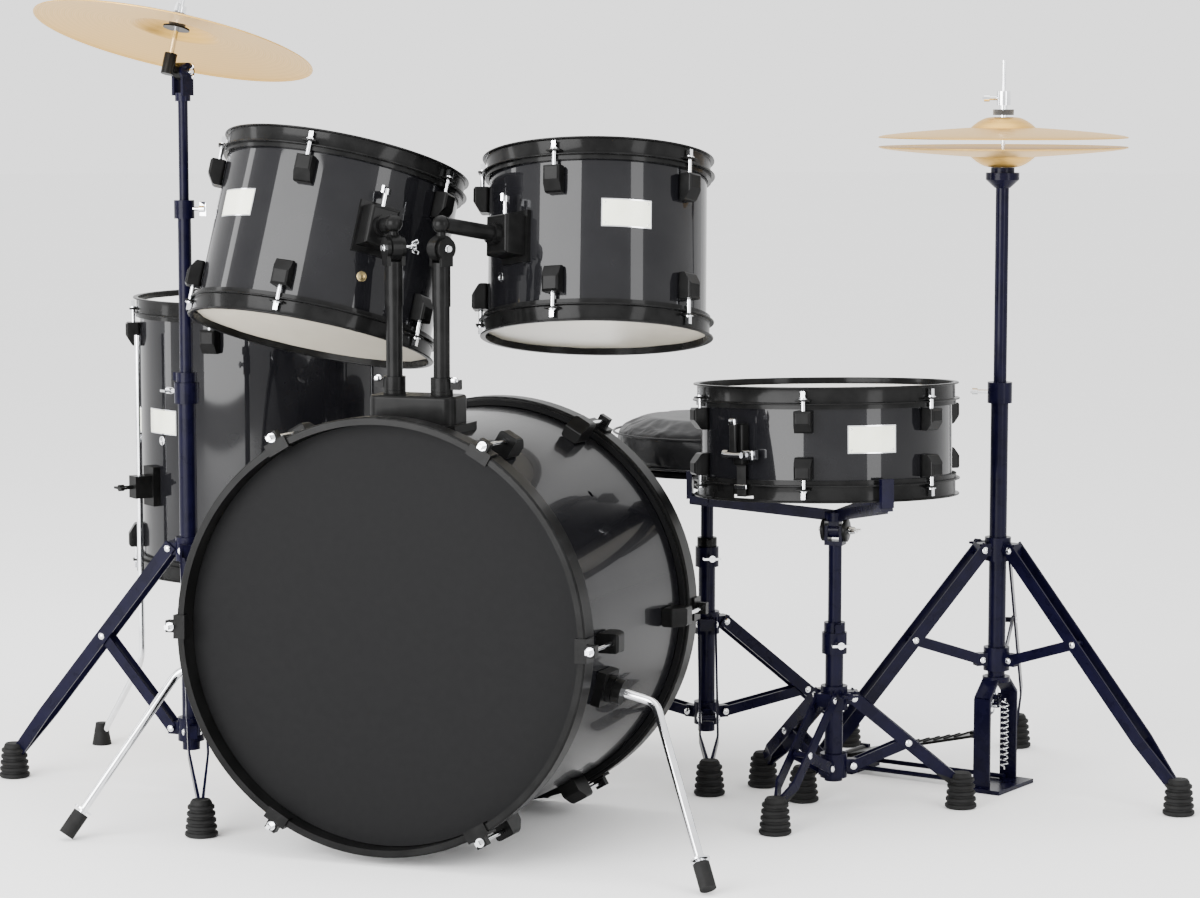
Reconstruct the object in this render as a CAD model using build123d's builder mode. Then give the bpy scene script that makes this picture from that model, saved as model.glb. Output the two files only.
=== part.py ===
from build123d import *
from math import atan2, cos, degrees, radians, sin
import os

# Acoustic drum kit, in millimetres.  +Z is up, -Y faces the audience, +X is the hi-hat side.
# Item positions are measured from the floor point under the bass drum's rear hoop, and
# KIT_MIDDLE moves the origin to the middle of the whole kit, on the floor.
KIT_MIDDLE = Vector(101.27, 68.57)

INCH = 25.4

# --- fits shared by every item ---
RUNNING = 0.05  # radial clearance of a bar in its bore
SIDE_GAP = 0.5  # clearance between plates that swing past each other

# --- tension hardware shared by every drum ---
ROD_RADIUS = 3.0
ROD_HEAD_SIZE = 8.0
ROD_HEAD_HEIGHT = 9.0
ROD_STANDOFF = 10.0  # rod axis outside the shell wall
LUG_WIDTH = 24.0
LUG_HEIGHT = 36.0
LUG_DEPTH = 22.0
LUG_SETBACK = 29.0  # from the bearing edge to the near end of the lug
SNARE_LUG_HEIGHT = 30.0
SNARE_LUG_SETBACK = 22.0

# --- heads and hoops ---
FILM = 1.0
FLESH_WIDTH = 5.2
FLESH_HEIGHT = 6.0
HOOP_SHEET = 2.3
HOOP_HEIGHT = 24.0
EAR_LIFT = 5.0  # ears above the hoop's lower flange
HOOP_RISE = 10.0  # rim above the bearing edge
RIM_OVERHANG = 10.0  # flange beyond the shell wall
EAR_WIDTH = 20.0
EAR_REACH = 16.0

# --- bass drum ---
BASS_SHELL_RADIUS = 277.0
BASS_DEPTH = 16 * INCH
BASS_HOOP_RADIUS = 290.0
BASS_HOOP_WALL = 10.0
BASS_HOOP_WIDTH = 36.0
BASS_EDGE = 28.0  # bearing edge inside the hoop's outer face
BASS_TILT = 1.5
BASS_LENGTH = BASS_DEPTH + 2 * BASS_EDGE
BASS_LUGS = 6
SPUR_STATION = 345.0
SPUR_ANGLE = -13.0
SPUR_RADIUS = 6.0
SPUR_ELBOW = 58.0
BASS_ROD_STANDOFF = 21.0

# --- tom holder ---
HOLDER_X = 10.0
HOLDER_Y = -340.0
HOLDER_TOP = 612.0
POST_SPREAD = 34.0
POST_RADIUS = 11.0
POST_DEPTH = 110.0  # how far a post goes down through the holder into the bass drum
SLEEVE_RADIUS = 12.2
ARM_RADIUS = 10.5
ARM_Z = 838.0
TILTER_Z = 806.0
TILTER_RADIUS = 17.5
TILTER_HALF = 7.0
PIN_RADIUS = 4.0

# --- toms, floor tom and snare: nominal head size, shell depth, centre, axis ---
TOM_LEFT = dict(inches=13, depth=238.0, middle=(-191.6, -176.2, 793.5), axis=(0.0989, 0.2835, 0.9539))
TOM_RIGHT = dict(inches=12, depth=228.6, middle=(173.2, -90, 795.5), axis=(-0.0675, 0.2184, 0.9735))
FLOOR_TOM = dict(inches=16, depth=16 * INCH, middle=(-510, 305, 479), axis=(0, 0, 1))
SNARE = dict(inches=14, depth=136.7, middle=(456, 68, 528.4), axis=(-0.0257, 0.047, 0.9986))
SHELL_WALL = 6.0
VENT_RADIUS = 5.0
LEG_ANGLES = (-127.0, -7.0, 113.0)
LEG_TURNS = (-66.0, 0.0, 0.0)  # how far each leg's bent foot is turned in its clamp
LEG_KICK = 84.0
LEG_BEND_Z = 140.0
LEG_TOP_Z = 640.0
LEG_RADIUS = 4.75

# --- stands ---
BASE_TUBE = 12.7
UPPER_TUBE = 9.5
COLLAR_RADIUS = 19.0
STRIP = 3.0
STRIP_WIDTH = 18.0
STRIP_SPREAD = 13.0
BRACE_SPREAD = 9.0
BOOT_HEIGHT = 46.0
BOOT_FOOT_RADIUS = 19.0
BOOT_TOP_RADIUS = 14.0
PIVOT_OUT = 27.0  # leg pivots outside the tube axis
RIVET_RADIUS = 3.0

SNARE_STAND = dict(at=(469, 73), foot=182, upper=161, lower=64, angles=(140, -100, 23), brace=0.52)
HIHAT_STAND = dict(at=(649, 301), foot=303, upper=351, lower=190, angles=(-19, 219, 97), brace=0.40)
CRASH_STAND = dict(at=(-439, -126), foot=294, upper=356, lower=93, angles=(179, -61, 59), brace=0.42)
THRONE_STAND = dict(at=(193, 342), foot=249, upper=212, lower=74, angles=(-71, 47, 166), brace=0.66)

# --- cymbals ---
HAT_RADIUS = 7 * INCH
CRASH_RADIUS = 200.0
CYMBAL_SHEET = 1.4
BELL_RISE = 15.0
CRASH_AXIS = Vector(0.106, 0.260, 0.9598)

UPRIGHT = (Align.CENTER, Align.CENTER, Align.MIN)
HANGING = (Align.CENTER, Align.CENTER, Align.MAX)

os.makedirs("parts", exist_ok=True)


# ---------------------------------------------------------------- helpers
def publish(piece, label):
    """Label a finished piece and write it to its own file."""
    piece.part.label = label
    export_step(piece.part, f"parts/{label}.step")


def place(x, y, z=0.0):
    """A point given from the rear hoop's foot, in the kit's own frame."""
    return Vector(x, y, z) - KIT_MIDDLE


def aim(origin, direction):
    """A plane at a point whose normal is a direction."""
    return Plane(origin=origin, z_dir=direction)


def profile_plane(frame):
    """The half plane through a frame's axis: x runs outwards and y along the axis."""
    return Plane(origin=frame.origin, x_dir=frame.x_dir, z_dir=-frame.y_dir)


def axis_of(frame):
    return Axis(frame.origin, frame.z_dir)


def bar(start, end, radius):
    """Add a round bar between two points to the part being built."""
    start = Vector(*start)
    run = Vector(*end) - start
    with Locations(aim(start, run).location):
        Cylinder(radius, run.length, align=UPRIGHT)


def slab(start, end, width, thickness, side=(0, 1, 0)):
    """Add a flat bar between two points, its thickness along the side direction."""
    start = Vector(*start)
    run = Vector(*end) - start
    across = Plane(origin=start, x_dir=side, z_dir=run)
    with Locations(across.location):
        Box(thickness, width, run.length, align=UPRIGHT)


def wing_bolt(at, direction, reach=22.0, span=26.0):
    """Add a wing bolt that starts at a point and points along a direction."""
    with Locations(aim(Vector(*at), Vector(*direction)).location):
        Cylinder(3.0, reach, align=UPRIGHT)
        with Locations((0, 0, reach - 7)):
            Box(span, 3.4, 10, align=UPRIGHT)
            Cylinder(5.0, 8, align=UPRIGHT)


def drum_frame(drum):
    """A drum's frame: at the middle of its shell, z along its axis towards the batter head."""
    axis = Vector(*drum["axis"]).normalized()
    across = Vector(0, 1, 0).cross(axis).normalized()
    return Plane(origin=place(*drum["middle"]), x_dir=across, z_dir=axis)


def shell_radius(drum):
    return drum["inches"] * INCH / 2 - 2.5


def drum_ends(frame, depth):
    """The two bearing edge frames, each with its z pointing out of the drum."""
    top = frame.offset(depth / 2)
    below = frame.offset(-depth / 2)
    bottom = Plane(origin=below.origin, x_dir=frame.x_dir, z_dir=-frame.z_dir)
    return top, bottom


# ---------------------------------------------------------------- shared drum pieces
def make_shell(frame, radius, depth, vent):
    """A wooden shell with bevelled bearing edges and one vent hole, given by angle and height."""
    vent_angle, vent_height = vent
    half = depth / 2
    bevel = SHELL_WALL - 2
    with BuildPart() as shell:
        with BuildSketch(profile_plane(frame)):
            with BuildLine():
                Polyline(
                    (radius, -half),
                    (radius, half),
                    (radius - 2, half),
                    (radius - 2 - bevel, half - bevel),
                    (radius - 2 - bevel, bevel - half),
                    (radius - 2, -half),
                    close=True,
                )
            make_face()
        revolve(axis=axis_of(frame))
        with Locations(frame.offset(vent_height).location):
            with Locations(Location((0, 0, 0), (0, 0, vent_angle))):
                with Locations(Location((radius, 0, 0), (0, 90, 0))):
                    Cylinder(VENT_RADIUS, 4 * SHELL_WALL, mode=Mode.SUBTRACT)
    return shell


def make_heads(ends, radius):
    """Two heads: film, collar over the bearing edge and the flesh hoop that is pulled down."""
    ring_top = HOOP_RISE - HOOP_HEIGHT
    with BuildPart() as heads:
        for end in ends:
            with BuildSketch(profile_plane(end)):
                with BuildLine():
                    Polyline(
                        (0, 0),
                        (radius + 0.8, 0),
                        (radius + 0.8, ring_top - FLESH_HEIGHT),
                        (radius + 0.8 + FLESH_WIDTH, ring_top - FLESH_HEIGHT),
                        (radius + 0.8 + FLESH_WIDTH, ring_top),
                        (radius + 2.0, ring_top),
                        (radius + 2.0, FILM),
                        (0, FILM),
                        close=True,
                    )
                make_face()
            revolve(axis=axis_of(end))
    return heads


def make_hoops(ends, radius, count, starts, gates=()):
    """Triple-flanged hoops with ears for the tension rods; a gate is a notch for the snares."""
    wall = radius + 2.4
    foot = HOOP_RISE - HOOP_HEIGHT
    lip = radius + RIM_OVERHANG
    with BuildPart() as hoops:
        for end, start in zip(ends, starts):
            with BuildSketch(profile_plane(end)):
                with BuildLine():
                    Polyline(
                        (wall, foot),
                        (lip + 1, foot),
                        (lip + 1, foot + HOOP_SHEET),
                        (wall + HOOP_SHEET, foot + HOOP_SHEET),
                        (wall + HOOP_SHEET, HOOP_RISE - HOOP_SHEET),
                        (lip, HOOP_RISE - HOOP_SHEET),
                        (lip, HOOP_RISE),
                        (wall, HOOP_RISE),
                        close=True,
                    )
                make_face()
            revolve(axis=axis_of(end))
            with Locations(end.location):
                with PolarLocations(radius + ROD_STANDOFF, count, start_angle=start):
                    with Locations((0, 0, foot + EAR_LIFT)):
                        Box(2 * (EAR_REACH - ROD_STANDOFF), EAR_WIDTH, HOOP_SHEET, align=UPRIGHT)
        for end, start in zip(ends, starts):
            with Locations(end.location):
                with PolarLocations(radius + ROD_STANDOFF, count, start_angle=start):
                    Cylinder(ROD_RADIUS + 0.3, 3 * HOOP_HEIGHT, mode=Mode.SUBTRACT)
        for angle in gates:
            with Locations(ends[1].location):
                with PolarLocations(radius, 1, start_angle=angle):
                    with Locations((0, 0, foot - 1)):
                        Box(40, 34, 20, align=UPRIGHT, mode=Mode.SUBTRACT)
    return hoops


def make_lug(depth, height, width, standoff=ROD_STANDOFF):
    """One lug at the end of its rod: x runs out of the shell and z out of the drum."""
    tail = height * 0.45
    with BuildPart() as lug:
        with BuildSketch(Plane.XZ):
            with BuildLine():
                Polyline(
                    (0.2, 0),
                    (depth - 3, 0),
                    (depth, -3),
                    (depth, tail - height),
                    (depth * 0.55, -height),
                    (0.2, -height),
                    close=True,
                )
            make_face()
        extrude(amount=width / 2, both=True)
        fillet(lug.edges().filter_by(Axis.Z), 4)
        fillet(lug.faces().sort_by(Axis.Z)[0].edges().sort_by(Axis.X)[-1], 5)
        with Locations((standoff, 0, 0)):
            Cylinder(ROD_RADIUS + 0.3, height * 0.7, align=HANGING, mode=Mode.SUBTRACT)
    return lug


def make_rod(length):
    """One tension rod with its square head and washer: z runs out of the drum."""
    with BuildPart() as rod:
        Cylinder(ROD_RADIUS, length, align=HANGING)
        Cylinder(4.6, 2.4, align=UPRIGHT)
        with Locations((0, 0, 2.4)):
            Box(ROD_HEAD_SIZE * 0.75, ROD_HEAD_SIZE * 0.75, ROD_HEAD_HEIGHT, align=UPRIGHT)
    return rod


def make_lugs(ends, radius, count, starts, height, setback):
    """All the lugs of a drum, each with its tension rod standing in it."""
    lug = make_lug(LUG_DEPTH, height, LUG_WIDTH).part
    ear_top = HOOP_RISE - HOOP_HEIGHT + EAR_LIFT + HOOP_SHEET
    rod = make_rod(setback + ear_top + height * 0.6).part
    with BuildPart() as lugs:
        for end, start in zip(ends, starts):
            with Locations(end.location):
                with PolarLocations(radius, count, start_angle=start):
                    with Locations((0, 0, -setback)):
                        add(lug)
                    with Locations((ROD_STANDOFF, 0, ear_top + 0.1)):
                        add(rod)
    return lugs


# ---------------------------------------------------------------- bass drum
def bass_frame():
    """The bass drum's frame: on the rear hoop's outer face, z towards the audience, y up."""
    forward = Vector(0, -cos(radians(BASS_TILT)), sin(radians(BASS_TILT)))
    return Plane(origin=place(0, 0, BASS_HOOP_RADIUS), x_dir=(1, 0, 0), z_dir=forward)


def bass_ends(frame):
    rear_face = Plane(origin=frame.origin, x_dir=frame.x_dir, z_dir=-frame.z_dir)
    return frame.offset(BASS_LENGTH), rear_face


def bass_shell(frame):
    """The bass drum's shell, with holes under the tom holder that the posts go down into."""
    plain = make_shell(frame.offset(BASS_LENGTH / 2), BASS_SHELL_RADIUS, BASS_DEPTH, vent=(40, 0))
    with BuildPart() as shell:
        add(plain.part)
        with Locations(place(HOLDER_X, HOLDER_Y, HOLDER_TOP)):
            with Locations((-POST_SPREAD, 0, 0), (POST_SPREAD, 0, 0)):
                Cylinder(POST_RADIUS + 1.5, 2 * POST_DEPTH, mode=Mode.SUBTRACT)
    return shell


def bass_hoops(frame):
    """Two plain wooden hoops with rounded outer edges."""
    with BuildPart() as hoops:
        for end in bass_ends(frame):
            with BuildSketch(end) as ring:
                Circle(BASS_HOOP_RADIUS)
                Circle(BASS_HOOP_RADIUS - BASS_HOOP_WALL, mode=Mode.SUBTRACT)
            extrude(ring.sketch, amount=-BASS_HOOP_WIDTH)
        rims = hoops.edges().filter_by(GeomType.CIRCLE)
        fillet(rims.filter_by(lambda edge: edge.radius > BASS_HOOP_RADIUS - 1), 2.5)
    return hoops


def bass_heads(frame):
    """Front and batter heads, set back inside the hoops."""
    radius = BASS_SHELL_RADIUS
    ring_top = -BASS_HOOP_WIDTH - 0.2
    with BuildPart() as heads:
        for end in bass_ends(frame):
            with BuildSketch(profile_plane(end)):
                with BuildLine():
                    Polyline(
                        (0, -BASS_EDGE),
                        (radius + 0.8, -BASS_EDGE),
                        (radius + 0.8, ring_top - FLESH_HEIGHT),
                        (radius + 8, ring_top - FLESH_HEIGHT),
                        (radius + 8, ring_top),
                        (radius + 2, ring_top),
                        (radius + 2, FILM - BASS_EDGE),
                        (0, FILM - BASS_EDGE),
                        close=True,
                    )
                make_face()
            revolve(axis=axis_of(end))
    return heads


def bass_lug_starts():
    return 0.0, 0.0


def make_bass_lugs(frame):
    """Twelve lugs on the bass drum's shell, six towards each hoop."""
    lug = make_lug(31, 44, 26, standoff=BASS_ROD_STANDOFF).part
    with BuildPart() as lugs:
        for end, start in zip(bass_ends(frame), bass_lug_starts()):
            with Locations(end.location):
                with PolarLocations(BASS_SHELL_RADIUS, BASS_LUGS, start_angle=start):
                    with Locations((0, 0, -BASS_HOOP_WIDTH - 40)):
                        add(lug)
    return lugs


def make_claw():
    """One claw hook over the hoop: z runs out of the drum and z=0 is the hoop's outer face."""
    inner = BASS_HOOP_RADIUS - BASS_HOOP_WALL
    out = BASS_SHELL_RADIUS + BASS_ROD_STANDOFF
    gap = 0.3
    with BuildPart() as claw:
        with Locations((inner - 3.2, 0, gap)):
            Box(BASS_HOOP_WALL + 6.5, 32, 3, align=(Align.MIN, Align.CENTER, Align.MIN))
            Box(2.2, 32, 12, align=(Align.MIN, Align.CENTER, Align.MAX))
        with Locations((BASS_HOOP_RADIUS + gap, 0, gap)):
            Box(3, 32, 24, align=(Align.MIN, Align.CENTER, Align.MAX))
        with Locations((BASS_HOOP_RADIUS + 1, 0, gap + 3)):
            Box(14, 16, 12, align=(Align.MIN, Align.CENTER, Align.MAX))
        with Locations((out, 0, 0)):
            Cylinder(ROD_RADIUS + 0.3, 40, mode=Mode.SUBTRACT)
        with Locations(Location((0, 0, gap))):
            Cylinder(BASS_HOOP_RADIUS + gap, 40, align=HANGING, mode=Mode.SUBTRACT)
        with Locations((inner - 3.2, 0, gap)):
            Box(2.2, 32, 12, align=(Align.MIN, Align.CENTER, Align.MAX))
    return claw


def make_claws(frame):
    """Claw hooks with their key rods, which end in the lugs."""
    claw = make_claw().part
    rod_start = 3.5
    out = BASS_SHELL_RADIUS + BASS_ROD_STANDOFF
    into_lug = BASS_HOOP_WIDTH + 55
    with BuildPart() as rod:
        with Locations((out, 0, rod_start)):
            Cylinder(6, 1.5, align=UPRIGHT)
            Box(6, 6, 11, align=UPRIGHT)
            Cylinder(ROD_RADIUS, rod_start + into_lug, align=HANGING)
    with BuildPart() as claws:
        for end, start in zip(bass_ends(frame), bass_lug_starts()):
            with Locations(end.location):
                with PolarLocations(0, BASS_LUGS, start_angle=start):
                    add(claw)
                    add(rod.part)
    return claws


def side_frame(frame, side):
    """Where a spur bracket stands on the shell: z runs out of the shell, y up."""
    angle = radians(SPUR_ANGLE)
    out = Vector(side * cos(angle), sin(angle), 0)
    station = frame.from_local_coords(out * BASS_SHELL_RADIUS + Vector(0, 0, SPUR_STATION))
    outward = frame.from_local_coords(out) - frame.origin
    return Plane(origin=station, x_dir=frame.z_dir, z_dir=outward)


def make_fittings(frame):
    """The tom holder block on top of the bass drum and a spur bracket on each side."""
    block_height = 52.0
    with BuildPart() as fittings:
        with Locations(place(HOLDER_X, HOLDER_Y, HOLDER_TOP)):
            Box(122, 62, block_height, align=HANGING)
        fillet(fittings.edges().filter_by(Axis.Z), 14)
        fillet(fittings.faces().sort_by(Axis.Z)[-1].edges(), 4)
        with Locations(place(HOLDER_X, HOLDER_Y, HOLDER_TOP)):
            with Locations((0, 0, -block_height + 8)):
                Box(136, 78, 14)
            with Locations((-POST_SPREAD, 0, 0), (POST_SPREAD, 0, 0)):
                Cylinder(POST_RADIUS + 4, 5, align=UPRIGHT)
                Cylinder(POST_RADIUS + RUNNING, 2 * block_height, mode=Mode.SUBTRACT)
        with Locations(frame.location):
            Cylinder(BASS_SHELL_RADIUS, 600, align=UPRIGHT, mode=Mode.SUBTRACT)
        for side in (-1, 1):
            seat = side_frame(frame, side)
            with Locations(seat.location):
                Box(52, 46, 12, align=UPRIGHT)
                Cylinder(19, 20, align=UPRIGHT)
            with Locations(frame.location):
                Cylinder(BASS_SHELL_RADIUS, 600, align=UPRIGHT, mode=Mode.SUBTRACT)
    return fittings


def make_spur(frame, side):
    """A bent chrome spur with its turning disc, washer, nut and rubber tip."""
    seat = side_frame(frame, side)
    hub = seat.origin + seat.z_dir * 20.4
    elbow = hub + seat.z_dir * SPUR_ELBOW
    tip = place(side * 460, -470, 4)
    shin = (tip - elbow).normalized()
    with BuildPart() as spur:
        with BuildLine() as path:
            FilletPolyline(hub + seat.z_dir * 3, elbow, tip - shin * 20, radius=26)
        with BuildSketch(Plane(origin=path.line @ 0, z_dir=path.line % 0)):
            Circle(SPUR_RADIUS)
        sweep(path=path.line)
        with Locations(Plane(origin=hub, z_dir=seat.z_dir).location):
            Cylinder(17, 12, align=UPRIGHT)
        with Locations(aim(tip - shin * 46, shin).location):
            Cylinder(13, 2.5, align=UPRIGHT)
        with Locations(aim(tip - shin * 40, shin).location):
            Cylinder(11, 36, align=UPRIGHT)
        with Locations(tip - Vector(0, 0, 4)):
            Box(60, 60, 30, align=HANGING, mode=Mode.SUBTRACT)
    return spur


# ---------------------------------------------------------------- toms
def post_point(side, z=ARM_Z):
    return place(HOLDER_X + side * POST_SPREAD, HOLDER_Y, z)


def tom_side(drum, side):
    """Where the arm meets a tom: z runs from the tom's axis out through its bracket."""
    frame = drum_frame(drum)
    reach = post_point(side) - frame.origin
    height = reach.dot(frame.z_dir)
    foot = frame.origin + frame.z_dir * height
    outward = post_point(side) - foot
    return Plane(origin=foot, x_dir=frame.z_dir, z_dir=outward), outward.length


def tilt_axis(drum, side):
    """The level direction that a tom's tilter turns about."""
    seat, _ = tom_side(drum, side)
    return Vector(0, 0, 1).cross(seat.z_dir).normalized()


def make_tom_post(drum, side):
    """A tom post: tube, memory lock, upper sleeve, and the fork with the tilter's bolt."""
    foot = post_point(side, HOLDER_TOP)
    pivot = post_point(side, TILTER_Z)
    across = tilt_axis(drum, side)
    sleeve = 58.0
    cheek = 5.5
    with BuildPart() as post:
        with Locations(foot):
            with Locations((0, 0, -POST_DEPTH)):
                Cylinder(POST_RADIUS, TILTER_Z - 24 - HOLDER_TOP + POST_DEPTH, align=UPRIGHT)
            with Locations((0, 0, 5.3)):
                Cylinder(POST_RADIUS + 4, 18, align=UPRIGHT)
            with Locations((side * 19, 0, 14.3)):
                Box(16, 10, 13)
        with Locations(pivot - Vector(0, 0, TILTER_RADIUS + 1)):
            Cylinder(SLEEVE_RADIUS, sleeve, align=HANGING)
        fork = Plane(origin=pivot, x_dir=across, z_dir=(0, 0, 1))
        with Locations(fork.location):
            for end in (-1, 1):
                with Locations((end * (TILTER_HALF + SIDE_GAP + cheek / 2), 0, 0)):
                    Box(cheek, 19, TILTER_RADIUS + 6, align=HANGING)
                    with Locations(Location((0, 0, 0), (0, 90, 0))):
                        Cylinder(TILTER_RADIUS - 3, cheek)
        with Locations(aim(pivot, across).location):
            Cylinder(PIN_RADIUS, 2 * (TILTER_HALF + cheek) + 10)
    return post


def make_tom_arm(drum, side):
    """The tilter's knuckle, and above it the arm that runs into the tom's bracket."""
    seat, length = tom_side(drum, side)
    radius = shell_radius(drum)
    pivot = post_point(side, TILTER_Z)
    with BuildPart() as arm:
        with Locations(aim(pivot, tilt_axis(drum, side)).location):
            Cylinder(TILTER_RADIUS, 2 * TILTER_HALF)
        bar(pivot, post_point(side), TILTER_HALF - 1)
        with Locations(post_point(side)):
            Sphere(ARM_RADIUS + 1.5)
        with Locations(seat.offset(radius + 9).location):
            Cylinder(ARM_RADIUS, length - radius - 9, align=UPRIGHT)
        with Locations(aim(pivot, tilt_axis(drum, side)).location):
            Cylinder(PIN_RADIUS + RUNNING, 60, mode=Mode.SUBTRACT)
    return arm


def make_tom_bracket(drum, side):
    """The box bracket on a tom's shell, bored for the arm, with its clamping bolt."""
    seat, _ = tom_side(drum, side)
    radius = shell_radius(drum)
    frame = drum_frame(drum)
    with BuildPart() as bracket:
        with Locations(seat.offset(radius - 6).location):
            Box(70, 50, 10, align=UPRIGHT)
        with Locations(seat.offset(radius + 4).location):
            Box(54, 42, 34, align=UPRIGHT)
        fillet(bracket.edges().group_by(axis_of(seat))[-1], 5)
        with Locations(seat.offset(radius + 30).location):
            Cylinder(ARM_RADIUS + 4, 18, align=UPRIGHT)
        with Locations(seat.offset(radius + 8).location):
            Cylinder(ARM_RADIUS + RUNNING, 60, align=UPRIGHT, mode=Mode.SUBTRACT)
        with Locations(frame.location):
            Cylinder(radius, 400, mode=Mode.SUBTRACT)
        wing_bolt(
            seat.from_local_coords((26.5, 0, radius + 22)),
            seat.x_dir,
            reach=26,
            span=24,
        )
    return bracket


# ---------------------------------------------------------------- floor tom legs
def leg_point(angle, out, z):
    """A point beside the floor tom: an angle, a distance from its axis and a height."""
    x, y, _ = FLOOR_TOM["middle"]
    return place(x + out * cos(radians(angle)), y + out * sin(radians(angle)), z)


def make_leg_brackets():
    """Three clamp blocks on the floor tom's shell, each bored for a leg, with a wing bolt."""
    radius = shell_radius(FLOOR_TOM)
    middle = place(*FLOOR_TOM["middle"])
    with BuildPart() as brackets:
        with Locations(Plane(origin=(middle.X, middle.Y, 408)).location):
            with PolarLocations(radius, 3, start_angle=LEG_ANGLES[0]):
                Box(22, 34, 60)
                with Locations((24, 0, 0)):
                    Box(28, 24, 34)
                with Locations((26, 0, 0)):
                    Cylinder(LEG_RADIUS + RUNNING, 80, mode=Mode.SUBTRACT)
            Cylinder(radius, 100, mode=Mode.SUBTRACT)
        for angle in LEG_ANGLES:
            wing_bolt(leg_point(angle, radius + 38, 408), (cos(radians(angle)), sin(radians(angle)), 0))
    return brackets


def make_floor_legs():
    """Three bent chrome legs with rubber feet."""
    out = shell_radius(FLOOR_TOM) + 26
    with BuildPart() as legs:
        for angle, turn in zip(LEG_ANGLES, LEG_TURNS):
            heading = radians(angle + turn)
            bend = leg_point(angle, out, LEG_BEND_Z)
            foot = bend + Vector(cos(heading), sin(heading), 0) * LEG_KICK
            foot = Vector(foot.X, foot.Y, 12)
            with BuildLine() as path:
                FilletPolyline(leg_point(angle, out, LEG_TOP_Z), bend, foot, radius=60)
            with BuildSketch(Plane(origin=path.line @ 0, z_dir=path.line % 0)):
                Circle(LEG_RADIUS)
            sweep(path=path.line)
            with Locations((foot.X, foot.Y, 0)):
                Cone(15, 9, 34, align=UPRIGHT)
    return legs


# ---------------------------------------------------------------- snare drum fittings
STRAINER_ANGLE = -113.0
LEVER_OUT = 24.6
LEVER_PIVOT = -14.0


def snare_side(angle):
    """A frame on the snare's shell wall: z out of the shell, x up along the drum's axis."""
    frame = drum_frame(SNARE)
    out = Vector(cos(radians(angle)), sin(radians(angle)), 0)
    outward = frame.from_local_coords(out) - frame.origin
    origin = frame.origin + outward * shell_radius(SNARE)
    return Plane(origin=origin, x_dir=frame.z_dir, z_dir=outward)


def make_snare_wires():
    """Snare wires under the resonant head: two end plates and the strands between them."""
    frame = drum_frame(SNARE)
    below = frame.offset(-SNARE["depth"] / 2 - FILM - 2.2)
    strands = 16
    pitch = 2.4
    span = 262.0
    with BuildPart() as wires:
        with Locations(below.location):
            with Locations(Location((0, 0, 0), (0, 0, STRAINER_ANGLE))):
                for end in (-1, 1):
                    with Locations((end * span / 2, 0, 0)):
                        Box(14, strands * pitch + 4, 1.6)
                with GridLocations(0, pitch, 1, strands):
                    with Locations(Location((0, 0, 0), (0, 90, 0))):
                        Cylinder(0.75, span)
    return wires


def make_strainer():
    """The strainer block on one side of the shell, the butt plate opposite and both straps."""
    low = -SNARE["depth"] / 2
    with BuildPart() as strainer:
        for angle, thick in ((STRAINER_ANGLE, 20), (STRAINER_ANGLE + 180, 14)):
            seat = snare_side(angle)
            with Locations(seat.location):
                Box(58, 30, thick, align=UPRIGHT)
        with Locations(drum_frame(SNARE).location):
            Cylinder(shell_radius(SNARE) + 0.1, 100, mode=Mode.SUBTRACT)
        for angle, thick in ((STRAINER_ANGLE, 20), (STRAINER_ANGLE + 180, 14)):
            seat = snare_side(angle)
            slab(
                seat.from_local_coords((-29, 0, 7.5)),
                seat.from_local_coords((low - FILM - 1.6, 0, 7.5)),
                24,
                1.0,
                side=seat.z_dir,
            )
            slab(
                seat.from_local_coords((low - FILM - 1.1, 0, 8)),
                seat.from_local_coords((low - FILM - 1.1, 0, -36)),
                24,
                1.0,
                side=seat.x_dir,
            )
    return strainer


def make_lever():
    """The throw-off lever, hinged low on the strainer block, with its free end up."""
    seat = snare_side(STRAINER_ANGLE)
    with BuildPart() as lever:
        with Locations(seat.location):
            with Locations((LEVER_PIVOT, 0, LEVER_OUT)):
                Box(50, 12, 5, align=(Align.MIN, Align.CENTER, Align.CENTER))
            with Locations(Location((LEVER_PIVOT, 0, LEVER_OUT), (90, 0, 0))):
                Cylinder(4.0, 28)
    return lever


# ---------------------------------------------------------------- stands
def stand_frame(stand):
    return Plane(origin=place(*stand["at"]))


def leg_line(stand):
    """The leg's pivot and foot, in the upright plane of a leg at angle 0."""
    return Vector(PIVOT_OUT, 0, stand["upper"]), Vector(stand["foot"] - 6, 0, BOOT_HEIGHT * 0.8)


def brace_line(stand):
    """The brace's pivots on the fixed collar and on the leg."""
    pivot, foot = leg_line(stand)
    return Vector(PIVOT_OUT, 0, stand["lower"]), pivot + (foot - pivot) * stand["brace"]


def make_leg(stand):
    """One leg: two flat strips that close together above a rubber boot."""
    pivot, foot = leg_line(stand)
    length = (foot - pivot).length
    bend = length * 0.80
    inner = STRIP_SPREAD - STRIP / 2
    outer = STRIP_SPREAD + STRIP / 2
    face = Plane(origin=pivot, x_dir=(0, 1, 0), z_dir=Vector(0, 1, 0).cross(foot - pivot))
    with BuildPart() as leg:
        with BuildSketch(face) as strips:
            with BuildLine():
                Polyline(
                    (inner, -7),
                    (outer, -7),
                    (outer, bend),
                    (STRIP + 0.5, length),
                    (0, length),
                    (0, length - 6),
                    (inner, bend),
                    close=True,
                )
            make_face()
            mirror(about=Plane.YZ)
        extrude(strips.sketch, amount=STRIP_WIDTH / 2, both=True)
        with Locations((stand["foot"], 0, 0)):
            Cone(BOOT_FOOT_RADIUS, BOOT_TOP_RADIUS, BOOT_HEIGHT, align=UPRIGHT)
        with Locations(Location(pivot, (90, 0, 0))):
            Cylinder(RIVET_RADIUS + RUNNING, 60, mode=Mode.SUBTRACT)
    return leg


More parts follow.
